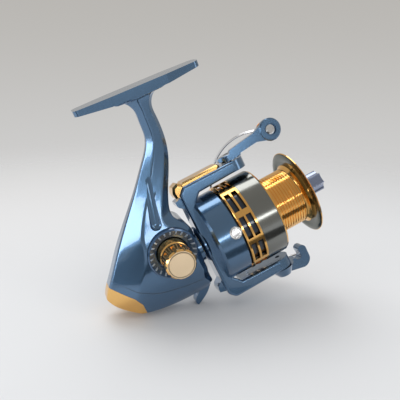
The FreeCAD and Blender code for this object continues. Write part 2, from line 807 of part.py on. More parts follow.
def build_pinion():
    """The pinion: teeth inside the case, a journal, and a threaded nose for the nut."""
    body = new_body("pinion")
    sketch = new_sketch(body, "XZ_Plane")
    bore = main_shaft_r + running
    rear = -pinion_tooth_length - 5.0
    tooth_front = rear + pinion_tooth_length
    nut_rear = bar_front + rotor_floor
    polygon(sketch, [(rear, bore), (rear, pinion_r), (tooth_front, pinion_r),
                     (tooth_front, pinion_journal_r), (nut_rear, pinion_journal_r),
                     (nut_rear, pinion_journal_r - 0.6),
                     (nut_rear + nut_reach + 1.4, pinion_journal_r - 0.6),
                     (nut_rear + nut_reach + 1.4, bore)])
    revolve(body, sketch)
    gap = new_sketch(body, "YZ_Plane", rear)
    polygon(gap, [(-0.42, pinion_root_r), (0.42, pinion_root_r), (0.85, pinion_r + 0.4),
                  (-0.85, pinion_r + 0.4)])
    cut = pocket(body, gap, pinion_tooth_length - 0.6, backwards=True)
    around(body, gap, cut, pinion_teeth)
    put_on_rotor(body)


def build_shaft_and_slider():
    rear = slider_rear_u
    turned_part("main_shaft", [
        (rear - 0.8, 0.0), (rear - 0.8, main_shaft_r), (lip_rear - 6.0, main_shaft_r),
        (lip_rear - 5.4, main_shaft_r - 0.3), (knob_front - 2.4, main_shaft_r - 0.3),
        (knob_front - 2.0, main_shaft_r - 0.7), (knob_front - 2.0, 0.0)], on_axis())
    body = new_body("oscillation_slider")
    sketch = new_sketch(body, "YZ_Plane", rear)
    polygon(sketch, [(-3.6, -4.6), (4.2, -4.6), (4.2, 4.6), (-3.6, 4.6)])
    circle(sketch, main_shaft_r)
    pad(body, sketch, slider_length)
    slot = new_sketch(body, "XZ_Plane", -4.3)
    rectangle(slot, (rear + slider_length / 2 - 1.2, -3.6), (rear + slider_length / 2 + 1.2, 3.6))
    pocket(body, slot, 1.4, backwards=True)
    put(body, on_axis())


build_collar()
build_cap()
build_drive_gear()
build_spur_train()
build_drive_shaft()
bearing("near_bearing", -(as_size(widest) - 2.65 - crank_bearing_width / 2))
bearing("far_bearing", as_size(widest) - 1.65 - crank_bearing_width / 2)
build_pinion()
turned_part("pinion_bearing", [
    (-2.5, pinion_journal_r + running), (-2.5, pinion_journal_r + 2.95),
    (1.6, pinion_journal_r + 2.95), (1.6, pinion_journal_r + running)], on_axis())
build_shaft_and_slider()


# ---------------------------------------------------------------- rotor

def build_rotor():
    """The rotor: a flat bracket of cross bar and two arms, with the cup in front of it."""
    body = new_body("rotor")
    bracket = new_sketch(body, "XZ_Plane")
    rear = rotor_gap + 1.3
    bend = 3.4
    inner = arm_out - arm_thick
    upper = [(rear, arm_out - bend), (rear + bend, arm_out), (arm_front, arm_out),
             (arm_front, inner + 0.8), (bar_front + 4.0, inner), (bar_front, inner - 4.0)]
    lower = [(x, -z) for x, z in reversed(upper)]
    polygon(bracket, upper + lower)
    pad(body, bracket, 2 * arm_half, both_ways=True)
    soften(body, lambda edge: is_lower_corner(edge), 3.2, "PartDesign::Fillet")
    soften(body, lambda edge: is_long_side(edge), arm_bevel, "PartDesign::Fillet")
    for side in (1, -1):
        weight = new_sketch(body, "XZ_Plane")
        polygon(weight, [(rear + 1.0, side * 21.0), (rear - 2.8, side * 24.0),
                         (rear - 3.4, side * 25.4), (rear - 3.4, side * 27.4),
                         (rear + 1.0, side * 28.6)])
        pad(body, weight, 2 * weight_half, both_ways=True)
    for side in (1, -1):
        foot = new_sketch(body, "XY_Plane", side * (arm_out - arm_thick + 0.8))
        circle(foot, arm_half - 0.4, (arm_front - 0.4, 0.0))
        pad(body, foot, arm_thick - 0.8 - free_gap / 2, backwards=(side < 0))
    flange = new_sketch(body, "XZ_Plane")
    polygon(flange, [(rotor_gap, pinion_journal_r + 0.02), (rotor_gap, flange_r - 2.0),
                     (rotor_gap + 0.5, flange_r - 0.8), (rotor_gap + 1.2, flange_r),
                     (rotor_gap + flange_thick + 0.3, flange_r), (rear + 2.0, flange_r - 2.0),
                     (rear + 2.0, pinion_journal_r + 0.02)])
    revolve(body, flange)
    cup = new_sketch(body, "XZ_Plane")
    narrow = skirt_r - skirt_wall - skirt_gap
    polygon(cup, [(bar_front - 2.4, pinion_journal_r + 0.02), (bar_front - 2.4, cup_r - 1.2),
                  (bar_front - 1.2, cup_r), (cup_step - 0.5, cup_r), (cup_step, cup_r - 0.5),
                  (cup_step, narrow), (cup_front - 0.5, narrow), (cup_front, narrow - 0.5),
                  (cup_front, narrow - cup_wall), (bar_front + rotor_floor + 2.0, narrow - cup_wall),
                  (bar_front + rotor_floor, narrow - cup_wall - 2.0),
                  (bar_front + rotor_floor, pinion_journal_r + 0.02)])
    revolve(body, cup)
    bore = new_sketch(body, "YZ_Plane", rotor_gap - 1.0)
    circle(bore, pinion_journal_r + 0.02)
    pocket(body, bore, bar_front + rotor_floor, backwards=True)
    screw_holes = new_sketch(body, "XY_Plane")
    circle(screw_holes, bail_screw_r + 0.02, (bail_pivot, 0.0))
    pocket(body, screw_holes, 2 * arm_out + 2.0, both_ways=True)
    put_on_rotor(body)


def on_one_side(ends, half):
    """True for points that all lie on the same one of a piece's two side faces."""
    near = all(abs(end.Y + half) < 1e-6 for end in ends)
    far = all(abs(end.Y - half) < 1e-6 for end in ends)
    return near or far


def is_lower_corner(edge):
    """The two cross edges of the bend at the foot of the lower arm."""
    ends = edge.Vertexes
    if len(ends) < 2 or abs(ends[0].Y - ends[1].Y) < arm_half.value:
        return False
    return ends[0].Z < -(arm_out.value - 4.0) and ends[0].X < rotor_gap.value + 5.5


def is_long_side(edge):
    """The long edges of the bracket's two flat faces."""
    ends = edge.Vertexes
    if len(ends) < 2 or edge.Length < 3:
        return False
    return on_one_side(ends, arm_half.value)


def build_rotor_nut():
    body = new_body("rotor_nut")
    rear = bar_front + rotor_floor
    sketch = new_sketch(body, "YZ_Plane", rear + 0.02)
    half = nut_across / 2
    point = nut_across / math.sqrt(3)
    polygon(sketch, [(half, point / 2), (0.0, point), (-half, point / 2), (-half, -point / 2),
                     (0.0, -point), (half, -point / 2)])
    circle(sketch, pinion_journal_r - 0.58)
    pad(body, sketch, nut_reach)
    put_on_rotor(body)


def build_arm_cover():
    """The gold cover plate on the upper arm, with its faceted heel behind the bend."""
    body = new_body("arm_cover")
    plate = new_sketch(body, "XY_Plane", arm_out + 0.02)
    half = arm_half - 1.2
    rear = rotor_gap + 1.3 + 3.6
    front = bail_pivot - hub_r - 2.6
    polygon(plate, [(rear, -half), (front - 2.0, -half), (front, -half + 2.0), (front, half - 2.0),
                    (front - 2.0, half), (rear, half)])
    pad(body, plate, 2.0)
    soften(body, lambda edge: min(v.Z for v in edge.Vertexes) > arm_out.value + 1.9, 0.9,
           "PartDesign::Chamfer")
    put_on_rotor(body)


def build_heel():
    """The faceted gold heel that wraps the bracket's upper rear corner."""
    body = new_body("arm_heel")
    rear = rotor_gap + 1.3
    bend = 3.4
    side = new_sketch(body, "XZ_Plane")
    out = arm_out + 0.05
    polygon(side, [(rear - 0.05, out - bend - 1.0), (rear - 0.05, out - bend), (rear + bend, out),
                   (rear + bend, out + 1.6), (rear + 1.6, out + 2.8), (rear - 1.4, out + 1.6),
                   (rear - 2.6, out - 1.2), (rear - 2.2, out - bend - 1.0)])
    pad(body, side, 2 * (arm_half - 1.6), both_ways=True)
    soften(body, lambda edge: heel_edge(edge, rear.value + bend), 1.3, "PartDesign::Chamfer")
    put_on_rotor(body)


def heel_edge(edge, join):
    ends = edge.Vertexes
    if len(ends) < 2:
        return False
    flat = on_one_side(ends, arm_half.value - 1.6)
    outside = all(end.Z > arm_out.value + 0.5 or end.X < rotor_gap.value for end in ends)
    return flat and outside and min(end.X for end in ends) < join - 0.5


build_rotor()
build_rotor_nut()
build_arm_cover()
build_heel()


# ---------------------------------------------------------------- spool

def build_spool():
    """The gold spool: windowed ring, web, grooved core and hub."""
    body = new_body("spool")
    sketch = new_sketch(body, "XZ_Plane")
    inside = skirt_r - skirt_wall
    hub = main_shaft_r + 0.06
    web = skirt_front - 2.0
    outline = [(ring_rear, inside), (ring_rear, skirt_r - 0.3), (ring_rear + 0.3, skirt_r),
               (ring_front, skirt_r), (ring_front, skirt_r - 0.65),
               (skirt_front - 0.8, skirt_r - 0.65), (skirt_front - 0.8, skirt_r - 0.1),
               (skirt_front, skirt_r - 0.5), (skirt_front, core_r + 0.6)]
    rings = 11
    pitch = (lip_rear - skirt_front - 3.4) / rings
    start = skirt_front + 1.0
    for ring in range(rings):
        groove = start + ring * pitch
        outline.append((groove, core_r))
        outline.append((groove + pitch * 0.35, core_r))
        outline.append((groove + pitch * 0.55, core_r - core_groove))
        outline.append((groove + pitch * 0.80, core_r - core_groove))
    outline += [(lip_rear - 2.2, core_r), (lip_rear - 1.2, core_r + 1.4), (lip_rear, core_r + 1.4),
                (lip_rear, core_r - 2.0), (lip_rear - 1.0, core_r - 4.0), (lip_rear - 9.0, core_r - 4.0),
                (lip_rear - 9.0, hub), (web - 6.0, hub), (web - 6.0, hub + 4.0), (web, hub + 4.0),
                (web, inside)]
    polygon(sketch, outline)
    revolve(body, sketch)
    for row in range(window_rows):
        row_width = (ring_front - ring_rear - 3 * window_bar) / 2
        low = ring_rear + window_bar + (row_width + window_bar) * row
        windows = new_sketch(body, "XY_Plane", inside - 2.0)
        half = math.pi / window_count * window_share * skirt_r
        rectangle(windows, (low, -half), (low + row_width, half))
        cut = pocket(body, windows, skirt_wall + 3.0, backwards=True)
        spread_round(body, cut, window_count)
    put(body, on_axis())


def spread_round(body, feature, count):
    """Repeats a feature evenly round the body's own X axis."""
    pattern = body.newObject("PartDesign::PolarPattern", "Round")
    pattern.Originals = [feature]
    pattern.Axis = (origin_plane(body, "X_Axis"), [""])
    pattern.Angle = 360
    pattern.Occurrences = count
    body.Tip = pattern
    doc.recompute()


build_spool()


def build_skirt_band():
    """The gunmetal band that sits in the spool's skirt ahead of the windowed ring."""
    seat = skirt_r - 0.65
    turned_part("skirt_band", [
        (ring_front + 0.02, seat + 0.02), (ring_front + 0.02, skirt_r - 0.1),
        (ring_front + 0.3, skirt_r + 0.05), (skirt_front - 1.0, skirt_r + 0.05),
        (skirt_front - 0.82, skirt_r - 0.1), (skirt_front - 0.82, seat + 0.02)], on_axis())


def build_lip():
    """The thin dished front lip with its rolled rim."""
    front = lip_rear + lip_thick
    turned_part("spool_lip", [
        (lip_rear + 0.02, core_r - 1.9), (lip_rear + 0.02, core_r + 2.2),
        (lip_rear - 0.5, lip_r - 3.0), (lip_rear - 0.2, lip_r - 0.8), (lip_rear + 0.2, lip_r - 0.25),
        (front - 0.6, lip_r - 0.25), (front - 0.3, lip_r - 3.0), (front + 0.4, core_r + 2.0),
        (front + 0.4, core_r - 1.9)], on_axis())
    turned_part("lip_rim", [
        (lip_rear + 0.22, lip_r - 0.23), (lip_rear + 0.35, lip_r), (front - 0.75, lip_r),
        (front - 0.62, lip_r - 0.23)], on_axis())


def build_drag_stack():
    """Drag washers in the spool's front pocket, and the retainer that holds them."""
    washers = []
    room = core_r.value - 4.4
    bore = main_shaft_r.value + 0.25
    for number in range(5):
        near = on_axis(lip_rear - 8.9 + number * 1.15)[0].value
        washer = rod(room, Vector(near, 0, axis_z), Vector(near + 1.0, 0, axis_z))
        washers.append(washer.cut(rod(bore, Vector(near - 1, 0, axis_z), Vector(near + 2, 0, axis_z))))
    from_code("drag_washers", Part.makeCompound(washers))


def build_knob():
    """The drag knob: a skirt that presses on the washers and a winged grip."""
    body = new_body("drag_knob")
    sketch = new_sketch(body, "XZ_Plane")
    bore = main_shaft_r - 0.3 + running
    rear = lip_rear - 2.8
    front = lip_rear + lip_thick + 0.9
    polygon(sketch, [(rear, bore), (rear, core_r - 4.8), (front, core_r - 4.8),
                     (front, core_r - 2.6), (front + 1.6, core_r - 3.2), (front + 3.0, knob_r + 0.4),
                     (front + 4.0, knob_r - 0.6), (knob_front - 1.0, knob_r - 0.8),
                     (knob_front, knob_r - 1.8), (knob_front, 0.0), (knob_front - 1.6, 0.0),
                     (knob_front - 1.6, bore)])
    revolve(body, sketch)
    hollow = new_sketch(body, "YZ_Plane", knob_front + 0.5)
    circle(hollow, knob_r * 0.62, (0.0, knob_r * 1.12))
    cut = pocket(body, hollow, knob_front - front - 4.4)
    around(body, hollow, cut, 6)
    put(body, on_axis())


build_skirt_band()
build_lip()
build_drag_stack()
build_knob()


# ---------------------------------------------------------------- bail

plate_near = -(roller_width / 2 + 0.6 + bail_plate)     # near face of the roller arm
plate_far = -(roller_width / 2 + 0.6)
holder_near = roller_width / 2 + 0.6
roller_x = bail_pivot + roller_ahead


def on_rotor_code(label, shape):
    """A piece shaped by code in the rotor's frame."""
    feature = from_code(label, shape)
    put_on_rotor(feature)
    return feature


def tangent_side(centre_a, radius_a, centre_b, radius_b, side):
    """The straight edge that touches two circles of the XZ plane on one side."""
    span = centre_b - centre_a
    along = math.atan2(span.z, span.x)
    lean = math.asin((radius_a - radius_b) / span.Length)
    angle = along + side * (math.pi / 2 - lean)
    normal = Vector(math.cos(angle), 0, math.sin(angle))
    return centre_a + normal * radius_a, centre_b + normal * radius_b


def tapered_link(centre_a, radius_a, centre_b, radius_b, near, far):
    """A flat link between two round ends, lying in the XZ plane."""
    top_a, top_b = tangent_side(centre_a, radius_a, centre_b, radius_b, 1)
    low_a, low_b = tangent_side(centre_a, radius_a, centre_b, radius_b, -1)
    span = (centre_b - centre_a).normalize()
    outline = Part.Wire([
        Part.LineSegment(top_a, top_b).toShape(),
        Part.Arc(top_b, centre_b + span * radius_b, low_b).toShape(),
        Part.LineSegment(low_b, low_a).toShape(),
        Part.Arc(low_a, centre_a - span * radius_a, top_a).toShape()])
    link = Part.Face(outline).extrude(Vector(0, far - near, 0))
    link.translate(Vector(0, near, 0))
    return link


def build_bail_arm():
    """The roller arm: a hub on the rotor arm, a rear tail, and a plate with a round end."""
    base = arm_out.value + free_gap.value
    pivot = Vector(bail_pivot.value, 0, 0)
    top = base + hub_thick.value
    hub = rod(hub_r.value, Vector(pivot.x, 0, base), Vector(pivot.x, 0, top))
    hub = hub.makeFillet(0.8, [edge for edge in hub.Edges
                               if edge.Closed and edge.Vertexes[0].Z > top - 0.1])
    tail = block((pivot.x - 7.6, -2.6, base + 1.0), (pivot.x, 3.0, top - 0.3))
    end = Vector(roller_x.value, 0, roller_out.value)
    root = Vector(pivot.x + 1.0, 0, top - 0.2)
    near = plate_near.value
    far = plate_far.value
    neck = Vector(end.x - 9.5, 0, end.z - 0.2)
    plate = tapered_link(root, 2.2, neck, 2.5, near + 0.4, far)
    head = tapered_link(neck, 2.5, end, roller_end_r.value * 0.9, near + 0.4, far)
    ring = rod(roller_end_r.value, Vector(end.x, near, end.z), Vector(end.x, far, end.z))
    ring = ring.makeChamfer(0.6, [edge for edge in ring.Edges if edge.Closed])
    bridge = block((pivot.x - 3.0, near + 0.4, base + 0.6), (pivot.x + 4.5, 1.0, top - 0.2))
    flat = plate.fuse(head).removeSplitter().fuse(ring)
    arm = hub.fuse(tail).removeSplitter().fuse(bridge).fuse(flat)
    arm = arm.cut(rod(3.3, Vector(end.x, near - 1, end.z), Vector(end.x, near + 1.3, end.z)))
    arm = arm.cut(rod(1.25, Vector(end.x, near - 1, end.z), Vector(end.x, far + 1, end.z)))
    arm = arm.cut(rod(2.9, Vector(pivot.x, 0, top - 1.4), Vector(pivot.x, 0, top + 1)))
    arm = arm.cut(rod(bail_screw_r.value + running.value, Vector(pivot.x, 0, base - 1),
                      Vector(pivot.x, 0, top + 1)))
    on_rotor_code("bail_arm", arm)


def cross_slot(centre, direction, side, width, length, depth):
    """A cross recess for a screw's head, cut inward from a point along a direction."""
    inward = direction * -depth
    cross = []
    for along in (side, direction.cross(side)):
        corner = centre - along * (length / 2) - direction.cross(along) * (width / 2)
        face = Part.Face(Part.makePolygon([
            corner, corner + along * length, corner + along * length + direction.cross(along) * width,
            corner + direction.cross(along) * width, corner]))
        cross.append(face.extrude(inward))
    return cross[0].fuse(cross[1])


def build_roller():
    """The line roller, its bush and the screw that carries it."""
    end_x = roller_x
    half = roller_width / 2
    centre = (end_x - case_front, as_size(0.0), -axis_drop)
    bore = 2.0
    body = new_body("line_roller")
    sketch = new_sketch(body, "XZ_Plane")
    polygon(sketch, [(-half, bore + running), (-half, roller_r), (-half + 0.8, roller_r),
                     (-0.5, roller_r - 1.3), (0.6, roller_r - 1.3), (half - 0.8, roller_r),
                     (half, roller_r), (half, bore + running)])
    revolve(body, sketch)
    across_rotor(body, end_x, roller_out)
    sleeve = new_body("roller_bush")
    sketch = new_sketch(sleeve, "XZ_Plane")
    polygon(sketch, [(-half - 0.55, 1.25), (-half - 0.55, 3.0), (-half - 0.1, 3.0),
                     (-half - 0.1, bore), (half + 0.55, bore), (half + 0.55, 1.25)])
    revolve(sleeve, sketch)
    across_rotor(sleeve, end_x, roller_out)
    screw = new_body("roller_screw")
    sketch = new_sketch(screw, "XZ_Plane")
    head = plate_near + 1.3
    polygon(sketch, [(head - 1.6, 0.0), (head - 1.6, 1.9), (head - 1.1, 2.6), (head - 0.02, 2.6),
                     (head - 0.02, 1.2), (holder_near + 2.6, 1.2), (holder_near + 2.6, 0.0)])
    revolve(screw, sketch)
    slot = new_sketch(screw, "YZ_Plane", head - 2.0)
    rectangle(slot, (-1.6, -0.35), (1.6, 0.35))
    pocket(screw, slot, 1.2, backwards=True)
    across_rotor(screw, end_x, roller_out)


def across_rotor(body, ahead, out):
    """Places a turned piece so that its X axis lies along the rotor's own Y axis."""
    turn = math.radians(rest_turn.value)
    place = (ahead - case_front, -out * math.sin(turn), out * math.cos(turn) - axis_drop)
    put(body, place, ROTOR_TURN.multiply(ACROSS))


def build_wire_holder():
    """The cone that joins the wire to the roller's far side."""
    end = Vector(roller_x.value, 0, roller_out.value)
    near = holder_near.value
    cone = Part.makeCone(roller_end_r.value * 0.78, 3.2, 3.4, Vector(end.x, near, end.z),
                         Vector(0, 1, 0))
    tip = Part.makeSphere(3.2, Vector(end.x, near + 3.4, end.z))
    holder = cone.fuse(tip)
    holder = holder.cut(rod(1.21, Vector(end.x, near - 1, end.z), Vector(end.x, near + 2.62, end.z)))
    holder = holder.cut(wire_form(wire_r.value + 0.02))
    on_rotor_code("wire_holder", holder)


def wire_form(radius):
    """The bail wire's solid: one arc from the holder, round the far side, to the lower arm."""
    lean = math.radians(bail_lean.value)
    pivot_x = bail_pivot.value
    reach = bail_reach.value
    start = Vector(roller_x.value, holder_near.value + 4.6, roller_out.value)
    middle = Vector(pivot_x + reach * math.cos(lean), reach * math.sin(lean), 0)
    last = Vector(pivot_x + hook_ahead.value, hook_y.value, -(arm_out.value + 1.9))
    arc = Part.Arc(start, middle, last)
    path = Part.Wire([arc.toShape()])
    section = Part.Circle(start, arc.tangent(arc.FirstParameter)[0], radius)
    return path.makePipeShell([Part.Wire([section.toShape()])], True, False)




def build_hook():
    """The lower bail arm: a domed hub under the rotor arm and a hook that rises ahead of it."""
    base = -(arm_out.value + free_gap.value)
    pivot = Vector(bail_pivot.value, 0, 0)
    dome = base - hook_depth.value
    heel = dome - 2.4
    far = hook_y.value + 0.6
    hub = Part.makeCone(hub_r.value + 1.2, hub_r.value - 2.2, hook_depth.value,
                        Vector(pivot.x, 0, base), Vector(0, 0, -1))
    inner_x = pivot.x + hook_ahead.value - 1.6
    outer_x = pivot.x + hook_ahead.value + 2.4
    tip_z = base + 5.0
    outline = Part.Wire([
        Part.LineSegment(Vector(pivot.x, 0, base), Vector(inner_x - 4.0, 0, base)).toShape(),
        Part.Arc(Vector(inner_x - 4.0, 0, base), Vector(inner_x - 2.6, 0, base - 1.8),
                 Vector(inner_x - 0.4, 0, base - 0.6)).toShape(),
        Part.LineSegment(Vector(inner_x - 0.4, 0, base - 0.6),
                         Vector(inner_x - 0.8, 0, tip_z - 1.6)).toShape(),
        Part.Arc(Vector(inner_x - 0.8, 0, tip_z - 1.6), Vector(inner_x + 1.8, 0, tip_z),
                 Vector(outer_x, 0, tip_z - 2.4)).toShape(),
        Part.LineSegment(Vector(outer_x, 0, tip_z - 2.4), Vector(outer_x, 0, dome + 1.6)).toShape(),
        Part.Arc(Vector(outer_x, 0, dome + 1.6), Vector(outer_x - 1.4, 0, heel + 1.6),
                 Vector(outer_x - 5.0, 0, heel)).toShape(),
        Part.LineSegment(Vector(outer_x - 5.0, 0, heel), Vector(pivot.x, 0, dome + 0.4)).toShape(),
        Part.LineSegment(Vector(pivot.x, 0, dome + 0.4), Vector(pivot.x, 0, base)).toShape()])
    near = 0.2
    strip = Part.Face(outline).extrude(Vector(0, far - near, 0))
    strip.translate(Vector(0, near, 0))
    arm = hub.fuse(strip)
    arm = arm.cut(rod(2.9, Vector(pivot.x, 0, dome - 1), Vector(pivot.x, 0, base - 2.0)))
    arm = arm.cut(rod(bail_screw_r.value + running.value, Vector(pivot.x, 0, dome - 1),
                      Vector(pivot.x, 0, base + 1)))
    arm = arm.cut(wire_form(wire_r.value + 0.02))
    on_rotor_code("bail_hook", arm)


def build_pivot_screws():
    """The two screws on which the bail arms turn."""
    for side, label in ((1, "upper_bail_screw"), (-1, "lower_bail_screw")):
        base = side * (arm_out.value + free_gap.value)
        top = base + side * (hub_thick.value - 1.4)
        x = bail_pivot.value
        up = Vector(0, 0, side)
        shank = rod(bail_screw_r.value, Vector(x, 0, base - side * 3.6), Vector(x, 0, top))
        head = rod(2.7, Vector(x, 0, top + side * 0.05), Vector(x, 0, top + side * 1.2))
        neck = rod(bail_screw_r.value, Vector(x, 0, top - side * 0.1), Vector(x, 0, top + side * 0.2))
        screw = shank.fuse(head).fuse(neck)
        slot = cross_slot(Vector(x, 0, top + side * 1.3), up, Vector(1, 0, 0), 0.5, 3.4, 0.7)
        on_rotor_code(label, screw.cut(slot))


build_bail_arm()
build_roller()
build_wire_holder()
on_rotor_code("bail_wire", wire_form(wire_r.value))
build_hook()
build_pivot_screws()


# ---------------------------------------------------------------- handle

fold_turn = Rotation(Vector(0, 1, 0), handle_turn.value)


def put_on_crank(obj):
    """Places an object in the crank's frame: its X axis along the handle at rest."""
    put(obj, crank_at(0.0), fold_turn)
    obj.setExpression("Placement.Rotation.Angle", handle_turn.text)
    return obj


def build_shank():
    """The handle's shank: a collar on the drive shaft and a forked end for the fold."""
    body = new_body("handle_shank")
    sketch = new_sketch(body, "XY_Plane")
    low = as_size(widest) + 0.6
    polygon(sketch, [(0.0, low), (shank_r + 0.8, low), (shank_r + 0.8, low + 3.0),
                     (shank_r - 0.6, low + 4.5), (shank_r - 1.2, shank_out - 9.0),
                     (shank_r, shank_out - 6.0), (shank_r, shank_out + 3.6), (0.0, shank_out + 3.6)])
    revolve(body, sketch, axis="V_Axis")
    fork = new_sketch(body, "XY_Plane")
    rectangle(fork, (-shank_r - 1, shank_out - 4.2), (shank_r + 1, shank_out + 4.6))
    slot_half = handle_thick / 2 + 0.06
    cut = pocket(body, fork, 2 * slot_half, both_ways=True)
    pin_hole = new_sketch(body, "XY_Plane")
    circle(pin_hole, 1.5, (0.0, shank_out))
    pocket(body, pin_hole, 4 * shank_r, both_ways=True)
    socket = new_sketch(body, "XZ_Plane", -(low - 1))
    circle(socket, drive_shaft_r)
    pocket(body, socket, shank_root - low + 1.02)
    put_on_crank(body)


def build_fold_pin():
    body = new_body("fold_pin")
    sketch = new_sketch(body, "XY_Plane")
    circle(sketch, 1.48, (0.0, shank_out))
    pad(body, sketch, 2 * shank_r - 2.4, both_ways=True)
    put_on_crank(body)


def build_handle_arm():
    """The crank arm: an eye in the fork, a tapered bar, and a boss for the grip."""
    body = new_body("handle_arm")
    eye = new_sketch(body, "XY_Plane")
    circle(eye, 3.9, (0.0, shank_out))
    circle(eye, 1.48 + running, (0.0, shank_out))
    pad(body, eye, handle_thick, both_ways=True)
    bar = new_sketch(body, "XY_Plane")
    reach = handle_length
    polygon(bar, [(2.2, shank_out - 3.2), (9.0, shank_out - 2.6), (reach - 6.0, shank_out - 1.8),
                  (reach, shank_out - 2.4), (reach, shank_out + 2.4), (reach - 6.0, shank_out + 1.6),
                  (9.0, shank_out + 2.4), (2.2, shank_out + 3.2)])
    pad(body, bar, handle_thick, both_ways=True)
    boss = new_sketch(body, "XZ_Plane", -(shank_out - 2.4))
    circle(boss, handle_width / 2, (reach, 0.0))
    pad(body, boss, 4.8, backwards=True)
    hole = new_sketch(body, "XZ_Plane", -(shank_out - 3.4))
    circle(hole, 2.0, (reach, 0.0))
    pocket(body, hole, 8.0)
    put_on_crank(body)


def build_grip():
    """The handle's grip, the spindle it spins on and the end cap."""
    start = shank_out + 2.4
    spindle = new_body("grip_spindle")
    sketch = new_sketch(spindle, "XY_Plane")
    polygon(sketch, [(0.0, -4.8), (1.98, -4.8), (1.98, 0.0), (3.0, 0.02), (3.0, 0.6),
                     (1.8, 0.6), (1.8, grip_length - 1.0), (0.0, grip_length - 1.0)])
    revolve(spindle, sketch, axis="V_Axis")
    put_at_grip(spindle, start)
    grip = new_body("handle_grip")
    sketch = new_sketch(grip, "XY_Plane")
    bore = 1.8 + running
    polygon(sketch, [(bore, 0.9), (grip_r * 0.55, 0.9), (grip_r * 0.62, 2.2), (grip_r * 0.78, 5.0),
                     (grip_r * 0.95, 10.0), (grip_r, grip_length * 0.62), (grip_r * 0.95, grip_length - 4.0),
                     (grip_r * 0.7, grip_length - 0.8), (grip_r * 0.6, grip_length + 0.4),
                     (3.4, grip_length + 0.4), (3.4, grip_length - 0.4), (bore, grip_length - 0.4)])
    revolve(grip, sketch, axis="V_Axis")
    flute = new_sketch(grip, "XZ_Plane", -(grip_length * 0.9))
    circle(flute, 1.3, (grip_r + 0.5, 0.0))
    cut = pocket(grip, flute, grip_length * 0.62, backwards=True)
    around(grip, flute, cut, 8)
    put_at_grip(grip, start)
    cap = new_body("grip_cap")
    sketch = new_sketch(cap, "XY_Plane")
    polygon(sketch, [(0.0, grip_length - 0.36), (3.38, grip_length - 0.36),
                     (3.38, grip_length + 0.5), (2.6, grip_length + 1.0), (0.0, grip_length + 1.1)])
    revolve(cap, sketch, axis="V_Axis")
    put_at_grip(cap, start)


def put_at_grip(body, start):
    turn = math.radians(handle_turn.value)
    place = (CRANK[0] + handle_length * math.cos(turn), start,
             CRANK[2] - handle_length * math.sin(turn))
    put(body, place, fold_turn)


build_shank()
build_fold_pin()
build_handle_arm()
build_grip()


# ---------------------------------------------------------------- anti-reverse lever

def build_lever():
    """The anti-reverse lever: a rod under the case and a curved tail that hangs behind it."""
    x = front_x - lever_back.value
    z = axis_z - lever_drop.value
    spindle = rod(lever_rod_r.value, Vector(x - 8.8, 0, z), Vector(front_x + 0.8, 0, z))
    hanger = block((x - 1.2, -2.2, z - 5.6), (x + 2.6, 2.2, z))
    bend = [(x + 2.6, z - 3.4), (x + 0.4, z - 7.4), (x - 3.6, z - 10.6), (x - 8.4, z - 13.2),
            (x - 9.2, z - 11.2), (x - 6.8, z - 7.6), (x - 3.0, z - 5.0), (x - 1.2, z - 3.4)]
    curve = Part.BSplineCurve()
    curve.interpolate([Vector(px, -2.6, pz) for px, pz in bend[:4]])
    under = Part.BSplineCurve()
    under.interpolate([Vector(px, -2.6, pz) for px, pz in bend[4:]])
    tip = Part.LineSegment(curve.EndPoint, under.StartPoint)
    root = Part.LineSegment(under.EndPoint, curve.StartPoint)
    outline = Part.Wire([curve.toShape(), tip.toShape(), under.toShape(), root.toShape()])
    tail = Part.Face(outline).extrude(Vector(0, 5.2, 0))
    from_code("anti_reverse_lever", spindle.fuse([hanger, tail]).removeSplitter())


build_lever()


# ---------------------------------------------------------------- writing

def check_and_write():
    """Stops on any failed object, then writes one STEP file for each piece."""
    doc.recompute()
    for obj in doc.Objects:
        if "Invalid" in obj.State or "Error" in obj.State:
            raise ValueError(f"{obj.Label}: {obj.State}")
    os.makedirs("parts", exist_ok=True)
    pieces = [obj for obj in doc.Objects
              if obj.TypeId == "PartDesign::Body" or obj.TypeId == "Part::Feature"]
    for piece in pieces:
        shape = piece.Shape
        if shape.isNull() or not shape.isValid():
            raise ValueError(f"{piece.Label}: no valid shape")
        shape.exportStep(f"parts/{piece.Label}.step")
        print(piece.Label, len(shape.Solids), round(shape.Volume, 1))


check_and_write()
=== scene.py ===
# %% [markdown]
# # Dressing a spinning reel
# A spinning reel is a small gearbox on a foot. A handle turns the rotor, the rotor lays line on a
# still spool, and a wire bail guides it there. The CAD model brings every part at its true size and
# place. This lesson gives those parts their paint, anodising and polish, adds the small marks that
# a drawing leaves out, and sets up a plain studio around them.
#
# ## Step 1: bring in the frame
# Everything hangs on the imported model. Its box is kept, because the dressed reel must still fit in
# it when the lesson is over.

# %% Load the frame
import json
import math

import bmesh
import bpy
from mathutils import Matrix, Vector

